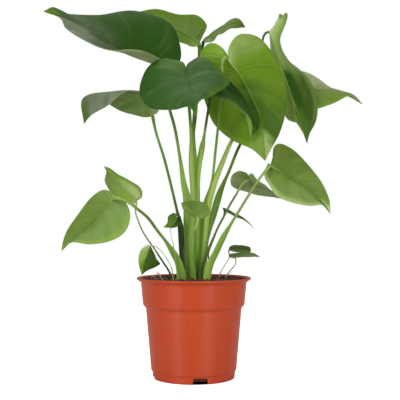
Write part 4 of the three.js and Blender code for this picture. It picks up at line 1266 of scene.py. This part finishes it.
def in_millimetres(group):
    """A settings group as plain values."""
    rules = [(key, rule) for key, rule in group.bl_rna.properties.items() if key not in ("rna_type", "name")]
    return type("Settings", (), {key: plain(getattr(group, key), rule) for key, rule in rules})


def length(label, about, millimetres):
    """A length setting, given in millimetres and kept in metres."""
    return FloatProperty(name=label, description=about, default=millimetres * MM, unit="LENGTH", precision=4)


def amount(label, about, default, least=0.0, most=1e6, unit="NONE"):
    """A setting that isn't a length."""
    return FloatProperty(name=label, description=about, default=default, min=least, max=most, unit=unit)


def tint(label, about, text):
    """A colour setting, given as six hexadecimal digits."""
    return FloatVectorProperty(name=label, description=about, default=colour(text)[:3], subtype="COLOR")


def whole(label, about, default, least=0):
    """A whole-number setting."""
    return IntProperty(name=label, description=about, default=default, min=least)


class PlantPot(bpy.types.PropertyGroup):
    """Sizes of the pot and of the soil in it"""

    height: length("Height", "Height of the pot", POT_BOX[1].z / MM)
    rim_radius: length("Rim", "Outer radius of the lip", POT_BOX[1].x / MM)
    rim_depth: length("Rim Depth", "Height of the flared lip", 7)
    band_top_radius: length("Band Top", "Radius of the band under the lip", 87)
    band_bottom_radius: length("Band Bottom", "Radius of the band above the shoulder", 83.8)
    band_bottom: length("Band Level", "Level of the band's lower edge", 121)
    shoulder_bottom: length("Shoulder Level", "Level where the shoulder meets the wall", 115)
    wall_top_radius: length("Wall Top", "Radius of the wall under the shoulder", 78.8)
    wall_bottom_radius: length("Wall Bottom", "Radius of the wall above the foot", 70.2)
    foot_height: length("Foot Height", "Height of the ring foot", 11)
    foot_radius: length("Foot Radius", "Outer radius of the ring foot", 68.2)
    foot_inside: length("Foot Inside", "Inner radius of the ring foot", 61.7)
    wall: length("Wall Thickness", "Thickness of the wall", 1.6)
    floor_under: length("Floor Underside", "Level of the floor's underside", 4)
    floor_top: length("Floor Top", "Level of the floor's upper side", 6)
    pad_radius: length("Pad Radius", "Radius of the pad in the middle of the underside", 16)
    drain_radius: length("Drain Radius", "Radius of each drain hole", 4.5)
    drain_circle: length("Drain Circle", "Distance of the drain holes from the middle", 38)
    notch_top: length("Notch Top", "Width of a notch at its top", 21)
    notch_bottom: length("Notch Bottom", "Width of a notch at its bottom", 27)
    notch_height: length("Notch Height", "Level of a notch's top", 10)
    soil_radius: length("Soil Radius", "Radius of the soil's surface", 84.5)
    soil_edge: length("Soil Edge", "Level of the soil at the wall", 159)
    soil_middle: length("Soil Middle", "Level of the soil in the middle", 162)
    drain_holes: whole("Drain Holes", "Number of drain holes", 8)
    notches: whole("Notches", "Number of notches in the foot", 4)
    notch_angle: amount("Notch Angle", "Turn of the front notch to the right, in degrees", 9, least=-180)
    segments: whole("Segments", "Steps round the pot", 192, least=24)
    colour: tint("Plastic", "Colour of the plastic", "c4461c")
    blotch_colour: tint("Blotches", "Colour of faint blotches on the plastic", "c84c24")
    streak_colour: tint("Streaks", "Colour of upright streaks on the plastic", "b23e1c")
    # This colour paints the shade inside the wall as well as the stain
    stain_and_shade_colour: tint("Stain", "Colour that damp soil leaves inside the wall", "3a1812")


class PlantSoil(bpy.types.PropertyGroup):
    """How fine the soil is"""

    rings: whole("Rings", "Steps from the soil's edge to its middle", 70, least=4)
    segments: whole("Segments", "Steps round the soil", 200, least=24)
    crumbs: whole("Crumbs", "Number of loose crumbs", 2600)
    seed: whole("Seed", "Start of the random draws", 11)
    bit_steps: whole("Dry Bit Steps", "Steps along a dry bit", 24, least=4)
    bit_sides: whole("Dry Bit Sides", "Steps round a dry bit", 10, least=4)
    dark_colour: tint("Dark Soil", "Colour of the soil in its hollows", "2a1610")
    light_colour: tint("Light Soil", "Colour of the soil on its lumps", "5a3626")
    dry_colour: tint("Dry Soil", "Colour of the soil's dry spots", "7a5236")


class PlantLeaf(bpy.types.PropertyGroup):
    """How blades and stalks are shaped and divided"""

    rows: whole("Rows", "Steps from joint to tip", 84, least=4)
    columns: whole("Columns", "Steps from midrib to margin", 20, least=2)
    veins: whole("Side Veins", "Side veins on each half", 7, least=1)
    swell: length("Swell", "How far the blade swells between side veins", 0.9)
    groove: length("Groove", "Depth of the groove over the midrib", 1.3)
    wave: length("Wave", "How far the margin waves", 1.4)
    rib: length("Midrib", "How far the midrib stands out below", 1.3)
    thickness: length("Thickness", "Thickness of the blade", 0.7)
    stalk_steps: whole("Stalk Steps", "Steps along a stalk", 72, least=4)
    stalk_sides: whole("Stalk Sides", "Steps round a stalk", 40, least=6)
    gloss_roughness: amount("Roughness", "Roughness of the upper face", 0.34, most=1)
    vein_colour: tint("Veins", "Colour of the veins", "b8d47c")


class PlantStage(bpy.types.PropertyGroup):
    """Camera, lights and floor"""

    camera_distance: length("Distance", "From the camera to the middle of the pot", 1311)
    camera_height: length("Camera Height", "Height of the camera", 254)
    lens: amount("Lens", "Focal length", 71.46, least=1, unit="CAMERA")
    shift: FloatVectorProperty(
        name="Shift", description="Lens shift that frames the plant", default=(0.0156, 0.0575), size=2)
    floor_radius: length("Floor Radius", "Radius of the floor", 4000)
    floor_glow: amount("Floor Glow", "How much the floor glows", 0.85)
    ambient: amount("Ambient", "Strength of the even light", 0.4)
    side_power: amount("Side Lights", "Power of each side light", 14, unit="POWER")
    top_power: amount("Top Light", "Power of the top light", 10, unit="POWER")


class PLANT_OT_make_pot(bpy.types.Operator):
    """Makes the nursery pot"""

    bl_idname = "plant.make_pot"
    bl_label = "Make Pot"

    def execute(self, context):
        pot = in_millimetres(context.scene.plant_pot)
        if pot.foot_inside >= pot.foot_radius:
            raise ValueError("the ring foot's inside has to be smaller than its outside")
        make_pot(pot)
        return {"FINISHED"}


class PLANT_OT_make_soil(bpy.types.Operator):
    """Makes the soil and the loose crumbs on it"""

    bl_idname = "plant.make_soil"
    bl_label = "Make Soil"

    def execute(self, context):
        pot = in_millimetres(context.scene.plant_pot)
        soil = in_millimetres(context.scene.plant_soil)
        if pot.soil_middle >= pot.height:
            raise ValueError("the soil has to stay under the rim")
        make_soil(pot, soil)
        make_crumbs(pot, soil)
        make_dry_bits(soil)
        return {"FINISHED"}


class PLANT_OT_make_large_leaves(bpy.types.Operator):
    """Makes the large leaves, each a blade and its stalk"""

    bl_idname = "plant.make_large_leaves"
    bl_label = "Make Large Leaves"

    def execute(self, context):
        make_leaves(LARGE_LEAVES, context.scene.plant_large_leaf, 0.37, "leaf")
        return {"FINISHED"}


class PLANT_OT_make_young_leaves(bpy.types.Operator):
    """Makes the small young leaves near the soil"""

    bl_idname = "plant.make_young_leaves"
    bl_label = "Make Young Leaves"

    def execute(self, context):
        make_leaves(YOUNG_LEAVES, context.scene.plant_young_leaf, 0.29, "young_leaf")
        return {"FINISHED"}


class PLANT_OT_make_stage(bpy.types.Operator):
    """Makes the floor, the lights and the camera"""

    bl_idname = "plant.make_stage"
    bl_label = "Make Stage"

    def execute(self, context):
        stage = in_millimetres(context.scene.plant_stage)
        if stage.camera_distance <= 0:
            raise ValueError("the camera has to stand in front of the plant")
        make_floor(stage)
        make_world(stage)
        make_camera(stage)
        for name, (place, size, power) in LIGHTS.items():
            aimed_light(name, place, size, getattr(stage, power))
        context.scene.view_settings.view_transform = "Standard"
        return {"FINISHED"}


class PLANT_PT_panel(bpy.types.Panel):
    """Lists the steps that build the plant"""

    bl_label = "Potted Plant"
    bl_idname = "PLANT_PT_panel"
    bl_space_type = "VIEW_3D"
    bl_region_type = "UI"
    bl_category = "Plant"

    def draw(self, context):
        for step in STEPS:
            self.layout.operator(step.bl_idname)
        for key, kind in SETTINGS.items():
            box = self.layout.box()
            for name in kind.__annotations__:
                box.prop(getattr(context.scene, key), name)


STEPS = (
    PLANT_OT_make_pot,
    PLANT_OT_make_soil,
    PLANT_OT_make_large_leaves,
    PLANT_OT_make_young_leaves,
    PLANT_OT_make_stage,
)
SETTINGS = {
    "plant_pot": PlantPot,
    "plant_soil": PlantSoil,
    "plant_large_leaf": PlantLeaf,
    "plant_young_leaf": PlantLeaf,
    "plant_stage": PlantStage,
}
CLASSES = (*dict.fromkeys(SETTINGS.values()), *STEPS, PLANT_PT_panel)


def register():
    for kind in CLASSES:
        bpy.utils.register_class(kind)
    for key, kind in SETTINGS.items():
        setattr(bpy.types.Scene, key, PointerProperty(type=kind))


def unregister():
    for key in SETTINGS:
        delattr(bpy.types.Scene, key)
    for kind in reversed(CLASSES):
        bpy.utils.unregister_class(kind)


def main():
    """Builds the plant step by step."""
    register()
    for key, value in YOUNG_SETTINGS.items():
        setattr(bpy.context.scene.plant_young_leaf, key, value)
    bpy.ops.plant.make_pot()
    bpy.ops.plant.make_soil()
    bpy.ops.plant.make_large_leaves()
    bpy.ops.plant.make_young_leaves()
    bpy.ops.plant.make_stage()


if __name__ == "__main__":
    main()
